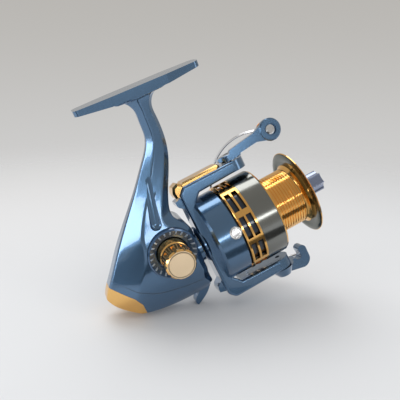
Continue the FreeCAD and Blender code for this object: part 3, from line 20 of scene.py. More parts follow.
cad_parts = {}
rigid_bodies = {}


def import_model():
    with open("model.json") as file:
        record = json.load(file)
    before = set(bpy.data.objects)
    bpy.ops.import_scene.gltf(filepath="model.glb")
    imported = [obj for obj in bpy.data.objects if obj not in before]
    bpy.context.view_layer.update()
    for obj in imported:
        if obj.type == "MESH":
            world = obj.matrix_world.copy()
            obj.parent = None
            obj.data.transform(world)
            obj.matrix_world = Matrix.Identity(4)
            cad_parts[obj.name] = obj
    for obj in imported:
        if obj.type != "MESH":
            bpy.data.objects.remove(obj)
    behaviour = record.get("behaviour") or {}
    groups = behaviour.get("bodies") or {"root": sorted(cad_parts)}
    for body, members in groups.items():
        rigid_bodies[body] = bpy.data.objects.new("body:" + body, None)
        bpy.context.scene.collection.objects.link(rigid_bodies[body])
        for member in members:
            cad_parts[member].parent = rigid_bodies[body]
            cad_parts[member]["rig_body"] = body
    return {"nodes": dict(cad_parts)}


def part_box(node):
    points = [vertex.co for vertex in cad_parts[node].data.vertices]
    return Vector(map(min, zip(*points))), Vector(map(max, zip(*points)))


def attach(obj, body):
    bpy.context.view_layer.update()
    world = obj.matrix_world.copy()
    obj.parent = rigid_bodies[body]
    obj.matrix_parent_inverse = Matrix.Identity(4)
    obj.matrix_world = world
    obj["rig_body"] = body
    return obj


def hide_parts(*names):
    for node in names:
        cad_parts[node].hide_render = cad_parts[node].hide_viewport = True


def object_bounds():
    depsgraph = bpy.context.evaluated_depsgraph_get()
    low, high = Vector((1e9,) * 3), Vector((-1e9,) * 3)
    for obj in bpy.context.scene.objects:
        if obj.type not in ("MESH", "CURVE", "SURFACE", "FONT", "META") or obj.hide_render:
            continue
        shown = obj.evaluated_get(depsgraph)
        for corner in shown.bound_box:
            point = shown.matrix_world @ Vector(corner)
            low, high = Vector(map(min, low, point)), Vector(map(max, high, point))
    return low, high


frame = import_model()
cad_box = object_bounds()
print("CAD nodes:", len(frame["nodes"]))
print("CAD box:", [tuple(round(v, 4) for v in corner) for corner in cad_box])

# %% [markdown]
# ## Step 2: effects that several finishes share
# Paint, anodised metal and rubber share three effects: metal flake, lathe rings and a faint cloudy
# wear. Two more draw one line each: the seam of the case's belly, and a groove turned round the
# crank's axis. Each is a node group, so that it is drawn once and placed with its own values. They
# read Object coordinates, which are metres in the frame, so a ring is as wide on one part as on
# another.

# %% Helpers for nodes and node groups
MM = 0.001
SPOOL_AXIS_Z = -91.3 * MM
CRANK_X = -20.2 * MM
CRANK_Z = -81.1 * MM


class Group:
    """A shader node group with named inputs and outputs."""

    def __init__(self, name, inputs, outputs):
        self.tree = bpy.data.node_groups.new(name, "ShaderNodeTree")
        for label, kind, value in inputs:
            socket = self.tree.interface.new_socket(label, in_out="INPUT", socket_type=kind)
            socket.default_value = value
        for label, kind in outputs:
            self.tree.interface.new_socket(label, in_out="OUTPUT", socket_type=kind)
        self.start = self.tree.nodes.new("NodeGroupInput")
        self.end = self.tree.nodes.new("NodeGroupOutput")

    def node(self, kind, settings=None, values=None):
        return new_node(self.tree, kind, settings, values)

    def join(self, source, target):
        self.tree.links.new(source, target)


def new_node(tree, kind, settings=None, values=None):
    """A node with its settings made and its sockets filled: a value, or another node's socket."""
    node = tree.nodes.new(kind)
    for name, value in (settings or {}).items():
        setattr(node, name, value)
    for name, value in (values or {}).items():
        if isinstance(value, bpy.types.NodeSocket):
            tree.links.new(value, node.inputs[name])
        else:
            node.inputs[name].default_value = value
    return node


# %% Metal flake
def make_flake():
    """Tiny bright and dark grains under the lacquer, which also tip the surface a little."""
    group = Group("Metal flake", [("Grain", "NodeSocketFloat", 0.35 * MM),
                                  ("Contrast", "NodeSocketFloat", 0.3)],
                  [("Shade", "NodeSocketFloat"), ("Height", "NodeSocketFloat")])
    place = group.node("ShaderNodeTexCoord")
    fineness = group.node("ShaderNodeMath", {"operation": "DIVIDE"},
                          {0: 1.0, 1: group.start.outputs["Grain"]})
    cells = group.node("ShaderNodeTexVoronoi", {"feature": "F1"},
                       {"Vector": place.outputs["Object"], "Scale": fineness.outputs[0]})
    tone = group.node("ShaderNodeSeparateColor", None, {"Color": cells.outputs["Color"]})
    half = group.node("ShaderNodeMath", {"operation": "MULTIPLY"},
                      {0: group.start.outputs["Contrast"], 1: 0.5})
    low = group.node("ShaderNodeMath", {"operation": "SUBTRACT"}, {0: 1.0, 1: half.outputs[0]})
    high = group.node("ShaderNodeMath", {"operation": "ADD"}, {0: 1.0, 1: half.outputs[0]})
    spread = group.node("ShaderNodeMapRange", None,
                        {"Value": tone.outputs["Red"], "To Min": low.outputs[0],
                         "To Max": high.outputs[0]})
    group.join(spread.outputs["Result"], group.end.inputs["Shade"])
    group.join(tone.outputs["Green"], group.end.inputs["Height"])
    return group.tree


FLAKE = make_flake()
print("group:", FLAKE.name)


# %% Lathe rings
def make_rings():
    """Fine uneven rings round the spool's axis, as a turning tool leaves them."""
    group = Group("Lathe rings", [("Pitch", "NodeSocketFloat", 0.25 * MM)],
                  [("Height", "NodeSocketFloat")])
    place = group.node("ShaderNodeTexCoord")
    middle = group.node("ShaderNodeMapping", None,
                        {"Vector": place.outputs["Object"], "Location": (0, 0, -SPOOL_AXIS_Z)})
    parts = group.node("ShaderNodeSeparateXYZ", None, {"Vector": middle.outputs["Vector"]})
    flat = group.node("ShaderNodeCombineXYZ", None,
                      {"Y": parts.outputs["Y"], "Z": parts.outputs["Z"]})
    radius = group.node("ShaderNodeVectorMath", {"operation": "LENGTH"}, {0: flat.outputs[0]})
    path = group.node("ShaderNodeMath", {"operation": "ADD"},
                      {0: radius.outputs["Value"], 1: parts.outputs["X"]})
    count = group.node("ShaderNodeMath", {"operation": "DIVIDE"},
                       {0: path.outputs[0], 1: group.start.outputs["Pitch"]})
    noise = group.node("ShaderNodeTexNoise", {"noise_dimensions": "1D"},
                       {"W": count.outputs[0], "Scale": 1.0, "Detail": 2.0})
    group.join(noise.outputs["Fac"], group.end.inputs["Height"])
    return group.tree


RINGS = make_rings()
print("group:", RINGS.name)


# %% Cloudy wear
def make_wear():
    """Handling marks: soft clouds and hairline scratches, as a number to add to roughness."""
    group = Group("Cloudy wear", [("Roughness", "NodeSocketFloat", 0.2),
                                  ("Amount", "NodeSocketFloat", 0.1)],
                  [("Roughness", "NodeSocketFloat"), ("Scratch", "NodeSocketFloat")])
    place = group.node("ShaderNodeTexCoord")
    clouds = group.node("ShaderNodeTexNoise", None,
                        {"Vector": place.outputs["Object"], "Scale": 90.0, "Detail": 5.0})
    shift = group.node("ShaderNodeMath", {"operation": "SUBTRACT"},
                       {0: clouds.outputs["Fac"], 1: 0.5})
    part = group.node("ShaderNodeMath", {"operation": "MULTIPLY"},
                      {0: shift.outputs[0], 1: group.start.outputs["Amount"]})
    total = group.node("ShaderNodeMath", {"operation": "ADD", "use_clamp": True},
                       {0: part.outputs[0], 1: group.start.outputs["Roughness"]})
    stretched = group.node("ShaderNodeMapping", None,
                           {"Vector": place.outputs["Object"], "Rotation": (0.3, 0.5, 0.2),
                            "Scale": (400.0, 4000.0, 2600.0)})
    lines = group.node("ShaderNodeTexNoise", None,
                       {"Vector": stretched.outputs["Vector"], "Scale": 1.0, "Detail": 1.0})
    group.join(total.outputs[0], group.end.inputs["Roughness"])
    group.join(lines.outputs["Fac"], group.end.inputs["Scratch"])
    return group.tree


WEAR = make_wear()
print("group:", WEAR.name)


# %% Belly seam
SEAM_POINTS = [(-0.0430, -0.0925), (-0.0348, -0.0984), (-0.0272, -0.1012), (-0.0165, -0.1040),
               (-0.0084, -0.1050)]
SEAM_X = (-0.056, -0.004)
SEAM_Z = (-0.110, -0.080)
SEAM_BACK = 0.98  # how far up its range of Z the line starts, on the back of the case


def make_seam():
    """The step where the belly of the case meets its side: 0 below the line, 1 above it."""
    group = Group("Belly seam", [("Softness", "NodeSocketFloat", 0.35 * MM)],
                  [("Height", "NodeSocketFloat")])
    place = group.node("ShaderNodeTexCoord")
    parts = group.node("ShaderNodeSeparateXYZ", None, {"Vector": place.outputs["Object"]})
    run = group.node("ShaderNodeMapRange", None,
                     {"Value": parts.outputs["X"], "From Min": SEAM_X[0], "From Max": SEAM_X[1]})
    line = group.node("ShaderNodeFloatCurve", None, {"Value": run.outputs["Result"]})
    curve = line.mapping.curves[0]
    spots = [((x - SEAM_X[0]) / (SEAM_X[1] - SEAM_X[0]), (z - SEAM_Z[0]) / (SEAM_Z[1] - SEAM_Z[0]))
             for x, z in SEAM_POINTS]
    curve.points[0].location = (0.0, SEAM_BACK)
    curve.points[1].location = (1.0, spots[-1][1])
    for spot in spots:
        curve.points.new(*spot)
    line.mapping.update()
    back = group.node("ShaderNodeMapRange", None,
                      {"Value": line.outputs["Value"], "To Min": SEAM_Z[0], "To Max": SEAM_Z[1]})
    above = group.node("ShaderNodeMath", {"operation": "SUBTRACT"},
                       {0: parts.outputs["Z"], 1: back.outputs["Result"]})
    ratio = group.node("ShaderNodeMath", {"operation": "DIVIDE"},
                       {0: above.outputs[0], 1: group.start.outputs["Softness"]})
    step = group.node("ShaderNodeMapRange", {"interpolation_type": "SMOOTHSTEP"},
                      {"Value": ratio.outputs[0], "From Min": -1.0, "From Max": 1.0})
    group.join(step.outputs["Result"], group.end.inputs["Height"])
    return group.tree


SEAM = make_seam()
print("group:", SEAM.name)


# %% A turned groove
def make_groove():
    """A groove cut round the crank's axis: 1 outside it, 0 in it."""
    group = Group("Turned groove", [("Radius", "NodeSocketFloat", 6.4 * MM),
                                    ("Width", "NodeSocketFloat", 0.35 * MM)],
                  [("Height", "NodeSocketFloat")])
    place = group.node("ShaderNodeTexCoord")
    centred = group.node("ShaderNodeVectorMath", {"operation": "SUBTRACT"},
                         {0: place.outputs["Object"], 1: (CRANK_X, 0.0, CRANK_Z)})
    flat = group.node("ShaderNodeVectorMath", {"operation": "MULTIPLY"},
                      {0: centred.outputs[0], 1: (1.0, 0.0, 1.0)})
    radius = group.node("ShaderNodeVectorMath", {"operation": "LENGTH"}, {0: flat.outputs[0]})
    off = group.node("ShaderNodeMath", {"operation": "SUBTRACT"},
                     {0: radius.outputs["Value"], 1: group.start.outputs["Radius"]})
    far = group.node("ShaderNodeMath", {"operation": "ABSOLUTE"}, {0: off.outputs[0]})
    ratio = group.node("ShaderNodeMath", {"operation": "DIVIDE"},
                       {0: far.outputs[0], 1: group.start.outputs["Width"]})
    step = group.node("ShaderNodeMapRange", {"interpolation_type": "SMOOTHSTEP"},
                      {"Value": ratio.outputs[0], "From Min": 0.3, "From Max": 1.0})
    group.join(step.outputs["Result"], group.end.inputs["Height"])
    return group.tree


GROOVE = make_groove()
print("group:", GROOVE.name)

# %% [markdown]
# ## Step 3: the finishes
# The body wears metallic blue lacquer: a metal base under a clear coat, which gives two highlights,
# one broad and tinted, one sharp and white. The gold parts are anodised aluminium, so they are
# plain tinted metal with turning rings. Gunmetal, bright steel, brass, cast zinc, carbon washers
# and rubber follow, each with the roughness that its making leaves.


# %% A helper for materials
class Finish:
    """A material with a Principled shader, open for more nodes."""

    def __init__(self, name, colour, metallic, roughness, wear=0.1, **sockets):
        self.material = bpy.data.materials.new(name)
        self.material.use_nodes = True
        self.tree = self.material.node_tree
        self.shader = self.tree.nodes["Principled BSDF"]
        self.colour = colour
        self.shader.inputs["Base Color"].default_value = (*colour, 1.0)
        self.shader.inputs["Metallic"].default_value = metallic
        for label, value in sockets.items():
            self.shader.inputs[label.replace("_", " ")].default_value = value
        self.wear = self.group(WEAR, Roughness=roughness, Amount=wear)
        self.tree.links.new(self.wear.outputs["Roughness"], self.shader.inputs["Roughness"])

    def node(self, kind, settings=None, values=None):
        return new_node(self.tree, kind, settings, values)

    def group(self, tree, **values):
        node = self.tree.nodes.new("ShaderNodeGroup")
        node.node_tree = tree
        for label, value in values.items():
            node.inputs[label].default_value = value
        return node

    def emboss(self, height, distance, strength=1.0):
        """Turns a height into a tilt of the surface, on top of any tilt made before."""
        bump = self.node("ShaderNodeBump", None,
                         {"Height": height, "Distance": distance, "Strength": strength})
        if self.shader.inputs["Normal"].links:
            before = self.shader.inputs["Normal"].links[0].from_socket
            self.tree.links.new(before, bump.inputs["Normal"])
        self.tree.links.new(bump.outputs["Normal"], self.shader.inputs["Normal"])

    def tint(self, shade, dark=0.0, bright=1.0):
        """Makes the colour follow a number: dark at 0, bright at 1."""
        mix = self.node("ShaderNodeMix", {"data_type": "RGBA", "clamp_factor": False})
        mix.inputs[6].default_value = (*[c * dark for c in self.colour], 1.0)
        mix.inputs[7].default_value = (*[min(c * bright, 1.0) for c in self.colour], 1.0)
        self.tree.links.new(shade, mix.inputs[0])
        self.tree.links.new(mix.outputs[2], self.shader.inputs["Base Color"])


# %% Lacquer
BODY_BLUE = (0.082, 0.168, 0.290)


def lacquer_finish(name, colour, roughness, contrast, metallic=0.9):
    """Metallic lacquer: flake in the base, a clear coat on top."""
    finish = Finish(name, colour, metallic, roughness, 0.08, Coat_Weight=1.0, Coat_Roughness=0.04)
    flake = finish.group(FLAKE, Grain=0.15 * MM, Contrast=contrast)
    finish.tint(flake.outputs["Shade"])
    finish.emboss(flake.outputs["Height"], 0.001 * MM, 0.4)
    return finish


def lacquer(*look):
    return lacquer_finish(*look).material


BLUE = lacquer("Blue lacquer", BODY_BLUE, 0.20, 0.2)


def case_lacquer():
    """The case's own lacquer, with the belly's seam pressed in."""
    finish = lacquer_finish("Body lacquer", BODY_BLUE, 0.20, 0.2)
    finish.emboss(finish.group(SEAM).outputs["Height"], 0.45 * MM)
    return finish.material


CASE_BLUE = case_lacquer()
DARK_BLUE = lacquer("Dark blue lacquer", (0.045, 0.105, 0.210), 0.14, 0.2, 0.6)
# painted shade: a near-black lacquer for the rotor's neck behind the spool's windows
PAINTED_SHADE_BLUE = lacquer("Black blue lacquer", (0.012, 0.022, 0.040), 0.30, 0.25)
KNOB_BLUE = lacquer("Silver blue lacquer", (0.230, 0.270, 0.390), 0.16, 0.2)
TICK_BLUE = lacquer("Pale blue lacquer", (0.330, 0.430, 0.560), 0.25, 0.2, 0.3)


# %% Anodised and plated metal
def metal(name, colour, roughness, wear=0.08, rings=0.0, pitch=0.25 * MM, scratch=0.002 * MM):
    """Bare or anodised metal, with turning rings or hairlines of a given depth."""
    finish = Finish(name, colour, 1.0, roughness, wear)
    if rings:
        turned = finish.group(RINGS, Pitch=pitch)
        finish.emboss(turned.outputs["Height"], rings)
        finish.tint(turned.outputs["Height"], 0.88, 1.12)
    else:
        finish.emboss(finish.wear.outputs["Scratch"], scratch)
        finish.tint(finish.wear.outputs["Scratch"], 0.9, 1.1)
    return finish.material


GOLD = metal("Gold anodising", (0.880, 0.530, 0.190), 0.16)
GOLD_TURNED = metal("Turned gold", (0.900, 0.500, 0.150), 0.12,
                    rings=0.025 * MM, pitch=0.45 * MM)


def cap_gold():
    """Satin gold for the screw cap's face, paler than the side: partly satin, partly a painted
    highlight. A groove near the edge of its face is pressed in and darkened as painted shade.
    """
    # painted highlight: this gold is paler than the cap's side, standing in for light on the face
    finish = Finish("Satin gold", (0.980, 0.760, 0.500), 0.45, 0.30, 0.08)
    finish.emboss(finish.wear.outputs["Scratch"], 0.003 * MM)
    groove = finish.group(GROOVE)
    finish.emboss(groove.outputs["Height"], 0.5 * MM)
    # painted shade: the groove's colour drops to 0.45 of the gold
    finish.tint(groove.outputs["Height"], 0.45, 1.0)
    return finish.material


GOLD_CAP_PAINTED_HIGHLIGHT = cap_gold()
GUNMETAL = metal("Gunmetal anodising", (0.240, 0.245, 0.230), 0.16, rings=0.004 * MM)
LIP_DARK = metal("Dark gunmetal", (0.120, 0.128, 0.110), 0.18, rings=0.003 * MM)
STEEL = metal("Ground steel", (0.560, 0.560, 0.570), 0.25)
CHROME = metal("Bright chrome", (0.800, 0.810, 0.830), 0.08)
BRASS = metal("Cut brass", (0.780, 0.560, 0.250), 0.28)
ZINC = metal("Cast zinc", (0.420, 0.425, 0.435), 0.45, wear=0.25, scratch=0.01 * MM)


# %% Washers and rubber
def grained(name, colour, roughness, size, depth):
    """A dull material with a fine moulded grain."""
    finish = Finish(name, colour, 0.0, roughness, 0.2)
    place = finish.node("ShaderNodeTexCoord")
    grain = finish.node("ShaderNodeTexNoise", None,
                        {"Vector": place.outputs["Object"], "Scale": 1.0 / size, "Detail": 3.0})
    finish.emboss(grain.outputs["Fac"], depth)
    finish.tint(grain.outputs["Fac"], 0.6, 1.4)
    return finish.material


WASHER = grained("Carbon washer", (0.045, 0.045, 0.050), 0.6, 0.4 * MM, 0.05 * MM)
RUBBER = grained("Grip rubber", (0.030, 0.032, 0.036), 0.62, 0.25 * MM, 0.04 * MM)
print("finishes:", sum(1 for m in bpy.data.materials if m.use_nodes))

# %% [markdown]
# ## Step 4: dress the parts
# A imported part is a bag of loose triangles, which shows its facets. A merged copy can be shaded
# smooth, with creases kept where two faces meet at a real edge. The copy rides on the same body
# and stands for its node.

# %% Smooth copies
CREASE = math.radians(32)
CREASES = {"housing": math.radians(38), "spool": math.radians(20)}
MERGE = 0.002 * MM


def dressed(node, material):
    """A merged and smooth copy of a CAD node, in its finish, on its own body."""
    source = frame["nodes"][node]
    crease = CREASES.get(node, CREASE)
    mesh = source.data.copy()
    mesh.name = node + "_mesh"
    shell = bmesh.new()
    shell.from_mesh(mesh)
    bmesh.ops.remove_doubles(shell, verts=shell.verts, dist=MERGE)
    for face in shell.faces:
        face.smooth = True
    for edge in shell.edges:
        if len(edge.link_faces) == 2 and edge.calc_face_angle(0.0) > crease:
            edge.smooth = False
    shell.to_mesh(mesh)
    shell.free()
    mesh.materials.clear()
    mesh.materials.append(material)
    piece = bpy.data.objects.new(node + "_look", mesh)
    bpy.context.scene.collection.objects.link(piece)
    weigh = piece.modifiers.new("Even shading", "WEIGHTED_NORMAL")
    weigh.keep_sharp = True
    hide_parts(node)
    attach(piece, source["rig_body"])
    return piece


OUTFITS = {
    (CASE_BLUE, "blue_paint"): ["housing"],
    (BLUE, "blue_paint"): ["side_cover", "rotor", "bail_arm", "bail_hook",
                           "anti_reverse_lever", "handle_arm"],
    (DARK_BLUE, "dark_blue"): ["collar"],
    (GOLD, "gold"): ["handle_cap", "rear_cap", "arm_cover", "arm_heel", "wire_holder", "grip_cap"],
    (GOLD_TURNED, "gold"): ["spool", "lip_rim", "line_roller"],
    (GUNMETAL, "gunmetal"): ["skirt_band"],
    (LIP_DARK, "gunmetal"): ["spool_lip"],
    (STEEL, "steel"): ["cover_screws", "drive_shaft", "near_bearing", "far_bearing",
                       "pinion_bearing", "main_shaft", "rotor_nut", "roller_bush", "fold_pin",
                       "grip_spindle"],
    (CHROME, "bright"): ["roller_screw", "bail_wire", "upper_bail_screw", "lower_bail_screw"],
    (BRASS, "brass"): ["crank_gear", "oscillation_gear", "pinion"],
    (ZINC, "zinc"): ["drive_gear", "oscillation_slider"],
    (WASHER, "washer"): ["drag_washers"],
    (KNOB_BLUE, "knob_blue"): ["drag_knob"],
    (RUBBER, "grip"): ["handle_grip"],
    (DARK_BLUE, "blue_paint"): ["handle_shank"],
}

looks = {}
for (material, slot_name), names in OUTFITS.items():
    for name in names:
        looks[name] = dressed(name, material)
print("dressed:", len(looks), "of", len(frame["nodes"]))

# %% [markdown]
# ## Step 5: two parts with a second finish
# The ring of windows in the spool opens onto the rotor's neck, which lies in the shade. Its faces
# get a near-black lacquer: painted shade. The screw cap is polished round its side, and its flat
# near face is satin with a turned groove. The face's paler gold is partly a painted highlight, and
# the groove is darkened with painted shade.

# %% Painted shade on the neck, satin face with a painted highlight on the cap
SKIRT_INSIDE = 22.5 * MM
NECK_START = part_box("spool")[0][0] - 2 * MM
CAP_FACE = min(vertex.co.y for vertex in looks["handle_cap"].data.vertices) + 0.3 * MM


def second_finish(piece, finish, chosen):
    """Gives the faces whose middle passes a test a second finish."""
    piece.data.materials.append(finish)
    faces = [face for face in piece.data.polygons if chosen(face.center)]
    for face in faces:
        face.material_index = 1
    return len(faces)


def on_neck(middle):
    """Whether a spot lies inside the spool's skirt."""
    return middle.x > NECK_START and math.hypot(middle.y, middle.z - SPOOL_AXIS_Z) < SKIRT_INSIDE


# painted shade: the neck's faces inside the skirt get the near-black lacquer
print("neck faces:", second_finish(looks["rotor"], PAINTED_SHADE_BLUE, on_neck))
# painted highlight: the cap's near face gets the paler gold
print("cap faces:", second_finish(looks["handle_cap"], GOLD_CAP_PAINTED_HIGHLIGHT, lambda spot: spot.y < CAP_FACE))

# %% [markdown]
# ## Step 6: a plain badge
# The rotor's cup carries a round badge. Here it is plain: a thin domed disc with a raised rim,
# bent to the cup. A disc is made of rings of points, and each point is then laid on the cup.

# %% Badge
BADGE_X = 11.8 * MM
BADGE_TURN = math.radians(161.4)
BADGE_R = 3.3 * MM
BADGE_SPOKES = 48
CUP_R = 23.9 * MM
# Each step is a share of the badge's radius and a height above the cup in mm.
BADGE_STEPS = ((0.0, 0.26), (0.55, 0.24), (0.80, 0.20), (0.84, 0.30), (0.95, 0.30), (1.0, 0.02),
               (1.0, -0.15))


def badge_mesh():
    """A domed disc whose heights are measured out from the cup's surface."""
    shell = bmesh.new()
    rings = []
    for share, height in BADGE_STEPS:
        ring = []
        for spoke in range(BADGE_SPOKES if share else 1):
            angle = 2 * math.pi * spoke / BADGE_SPOKES
            along = BADGE_R * share * math.cos(angle)
            turn = BADGE_TURN + BADGE_R * share * math.sin(angle) / CUP_R
            out = CUP_R + height * MM
            ring.append(shell.verts.new((BADGE_X + along, out * math.cos(turn),
                                         SPOOL_AXIS_Z + out * math.sin(turn))))
        rings.append(ring)
    for spoke in range(BADGE_SPOKES):
        after = (spoke + 1) % BADGE_SPOKES
        shell.faces.new((rings[0][0], rings[1][spoke], rings[1][after]))
        for inner, outer in zip(rings[1:], rings[2:]):
            shell.faces.new((inner[spoke], outer[spoke], outer[after], inner[after]))
    shell.faces.new(rings[-1])
    bmesh.ops.recalc_face_normals(shell, faces=shell.faces)
    for face in shell.faces:
        face.smooth = len(face.verts) < 5
    mesh = bpy.data.meshes.new("rotor_badge_mesh")
    shell.to_mesh(mesh)
    shell.free()
    return mesh


badge = bpy.data.objects.new("rotor_badge", badge_mesh())
badge.data.materials.append(STEEL)
bpy.context.scene.collection.objects.link(badge)
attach(badge, "rotor")
print("badge faces:", len(badge.data.polygons))

# %% [markdown]
# ## Step 7: ticks round the collar
# A ring of small raised ticks is moulded on the collar's dished face. One bar and a rule for where
# its copies go is all it takes, so Geometry Nodes make it: points on a circle, a bar on each.

# %% Tick ring
TICKS = 24
TICK_CIRCLE_R = 11.1 * MM
TICK_SIZE = (2.3 * MM, 0.75 * MM, 0.5 * MM)
TICK_TILT = math.radians(-35)
TICK_LIFT = 0.65 * MM


def tick_tree():
    """Bars on a circle about +Z, each pointing outwards and tilted with the dish."""
    tree = bpy.data.node_groups.new("Tick ring", "GeometryNodeTree")
    tree.interface.new_socket("Geometry", in_out="OUTPUT", socket_type="NodeSocketGeometry")
    named = {}
    for label, kind, value in (("Count", "NodeSocketInt", TICKS),
                               ("Circle", "NodeSocketFloat", TICK_CIRCLE_R),
                               ("Size", "NodeSocketVector", TICK_SIZE),
                               ("Tilt", "NodeSocketFloat", TICK_TILT),
                               ("Finish", "NodeSocketMaterial", None)):
        socket = tree.interface.new_socket(label, in_out="INPUT", socket_type=kind)
        if value is not None:
            socket.default_value = value
        named[label] = socket.identifier
    start = tree.nodes.new("NodeGroupInput")
    end = tree.nodes.new("NodeGroupOutput")
    index = new_node(tree, "GeometryNodeInputIndex")
    share = new_node(tree, "ShaderNodeMath", {"operation": "DIVIDE"},
                     {0: index.outputs[0], 1: start.outputs["Count"]})
    angle = new_node(tree, "ShaderNodeMath", {"operation": "MULTIPLY"},
                     {0: share.outputs[0], 1: 2 * math.pi})
    turn = new_node(tree, "ShaderNodeCombineXYZ", None, {"Z": angle.outputs[0]})
    reach = new_node(tree, "ShaderNodeCombineXYZ", None, {"X": start.outputs["Circle"]})
    spot = new_node(tree, "ShaderNodeVectorRotate", {"rotation_type": "EULER_XYZ"},
                    {"Vector": reach.outputs[0], "Rotation": turn.outputs[0]})
    lean = new_node(tree, "ShaderNodeCombineXYZ", None,
                    {"Y": start.outputs["Tilt"], "Z": angle.outputs[0]})
    points = new_node(tree, "GeometryNodePoints", None,
                      {"Count": start.outputs["Count"], "Position": spot.outputs[0]})
    bar = new_node(tree, "GeometryNodeMeshCube", None, {"Size": start.outputs["Size"]})
    copies = new_node(tree, "GeometryNodeInstanceOnPoints", None,
                      {"Points": points.outputs[0], "Instance": bar.outputs[0],
                       "Rotation": lean.outputs[0]})
    real = new_node(tree, "GeometryNodeRealizeInstances", None, {0: copies.outputs[0]})
    coat = new_node(tree, "GeometryNodeSetMaterial", None,
                    {"Geometry": real.outputs[0], "Material": start.outputs["Finish"]})
    tree.links.new(coat.outputs[0], end.inputs[0])
    return tree, named


def tick_ring(material):
    """Runs the tree, keeps its result as a plain mesh and lays it on the collar."""
    tree, named = tick_tree()
    holder = bpy.data.objects.new("collar_ticks", bpy.data.meshes.new("tick_seed"))
    bpy.context.scene.collection.objects.link(holder)
    modifier = holder.modifiers.new("Tick ring", "NODES")
    modifier.node_group = tree
    modifier[named["Finish"]] = material
    now = holder.evaluated_get(bpy.context.evaluated_depsgraph_get())
    mesh = bpy.data.meshes.new_from_object(now)
    holder.modifiers.clear()
    holder.data = mesh
    face_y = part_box("collar")[0][1] + TICK_LIFT
    to_near = Matrix.Rotation(math.radians(90), 4, "X")
    mesh.transform(Matrix.Translation((CRANK_X, face_y, CRANK_Z)) @ to_near)
    return holder


ticks = tick_ring(TICK_BLUE)
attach(ticks, "frame")
print("tick faces:", len(ticks.data.polygons))

# %% [markdown]
# ## Step 8: the studio
# The reel is shown leaning back, so the floor is tilted against the frame. Its height is that of
# the lowest point along its normal, the tip of the lever under the case. It shows from above only,
# so a look from below still sees the reel. A dark card on the floor, which the camera does not
# see, gives the shiny metal something dark to mirror.

# %% Floor
FLOOR_UP = Vector((0.400, 0.0, 0.9165)).normalized()
FLOOR_R = 1.6
FLOOR_CORNERS = 96
AWAY = Vector((0.0, 1.0, 0.0))
SIDE = AWAY.cross(FLOOR_UP).normalized()


def lowest_along(direction):
    """How far down the parts reach along a direction."""
    return min(vertex.co.dot(direction) for node in frame["nodes"].values()
               for vertex in node.data.vertices)


floor_level = lowest_along(FLOOR_UP)


def floor_mesh():
    """A round sheet on the floor plane, which ends far outside the light."""
    mesh = bpy.data.meshes.new("floor_mesh")
    shell = bmesh.new()
    middle = FLOOR_UP * floor_level
    rim = []
    for step in range(FLOOR_CORNERS):
        angle = 2 * math.pi * step / FLOOR_CORNERS
        spot = middle + (SIDE * math.cos(angle) + AWAY * math.sin(angle)) * FLOOR_R
        rim.append(shell.verts.new(spot))
    face = shell.faces.new(rim)
    shell.normal_update()
    if face.normal.dot(FLOOR_UP) < 0:
        face.normal_flip()
    shell.to_mesh(mesh)
    shell.free()
    return mesh


PAPER_FRONT = (0.65, 0.65, 0.65, 1.0)
# painted shade: the paper's colour at the back, darker than at the front
PAPER_BACK_PAINTED_SHADE = (0.56, 0.55, 0.54, 1.0)
PAPER_DEPTH = (-0.10, 0.35)
PAPER_FADE = (0.20, 0.60)


def floor_material():
    """Pale paper with painted shade, darker towards the back, fading out with distance, clear from
    below.
    """
    material = bpy.data.materials.new("Studio paper")
    material.use_nodes = True
    tree = material.node_tree
    tree.nodes.clear()
    place = new_node(tree, "ShaderNodeTexCoord")
    depth = new_node(tree, "ShaderNodeSeparateXYZ", None, {"Vector": place.outputs["Object"]})
    # painted shade: the paper's colour darkens from front to back
    ramp = new_node(tree, "ShaderNodeMapRange", {"interpolation_type": "SMOOTHSTEP"},
                    {"Value": depth.outputs["Y"], "From Min": PAPER_DEPTH[0],
                     "From Max": PAPER_DEPTH[1]})
    colour = new_node(tree, "ShaderNodeMix", {"data_type": "RGBA"})
    colour.inputs[6].default_value = PAPER_FRONT
    colour.inputs[7].default_value = PAPER_BACK_PAINTED_SHADE
    tree.links.new(ramp.outputs["Result"], colour.inputs[0])
    paper = new_node(tree, "ShaderNodeBsdfDiffuse", None, {"Color": colour.outputs[2]})
    clear = new_node(tree, "ShaderNodeBsdfTransparent")
    away = new_node(tree, "ShaderNodeVectorMath", {"operation": "LENGTH"},
                    {0: place.outputs["Object"]})
    fade = new_node(tree, "ShaderNodeMapRange", {"interpolation_type": "SMOOTHSTEP"},
                    {"Value": away.outputs["Value"], "From Min": PAPER_FADE[0],
                     "From Max": PAPER_FADE[1]})
    face = new_node(tree, "ShaderNodeNewGeometry")
    most = new_node(tree, "ShaderNodeMath", {"operation": "MAXIMUM"},
                    {0: fade.outputs["Result"], 1: face.outputs["Backfacing"]})
    mix = new_node(tree, "ShaderNodeMixShader", None, {"Fac": most.outputs[0]})
    tree.links.new(paper.outputs[0], mix.inputs[1])
    tree.links.new(clear.outputs[0], mix.inputs[2])
    out = new_node(tree, "ShaderNodeOutputMaterial")
    tree.links.new(mix.outputs[0], out.inputs["Surface"])
    return material


floor = bpy.data.objects.new("floor", floor_mesh())
floor.data.materials.append(floor_material())
bpy.context.scene.collection.objects.link(floor)
print("floor level:", round(floor_level, 4))


# %% World
ROOM_SHADE = 0.90
SWEEP_LOW = (0.66, 0.66, 0.66, 1.0)
SWEEP_HIGH = (0.48, 0.465, 0.44, 1.0)
ROOM_LIGHT = (0.95, 0.97, 1.0, 1.0)
ROOM_POWER = 0.85


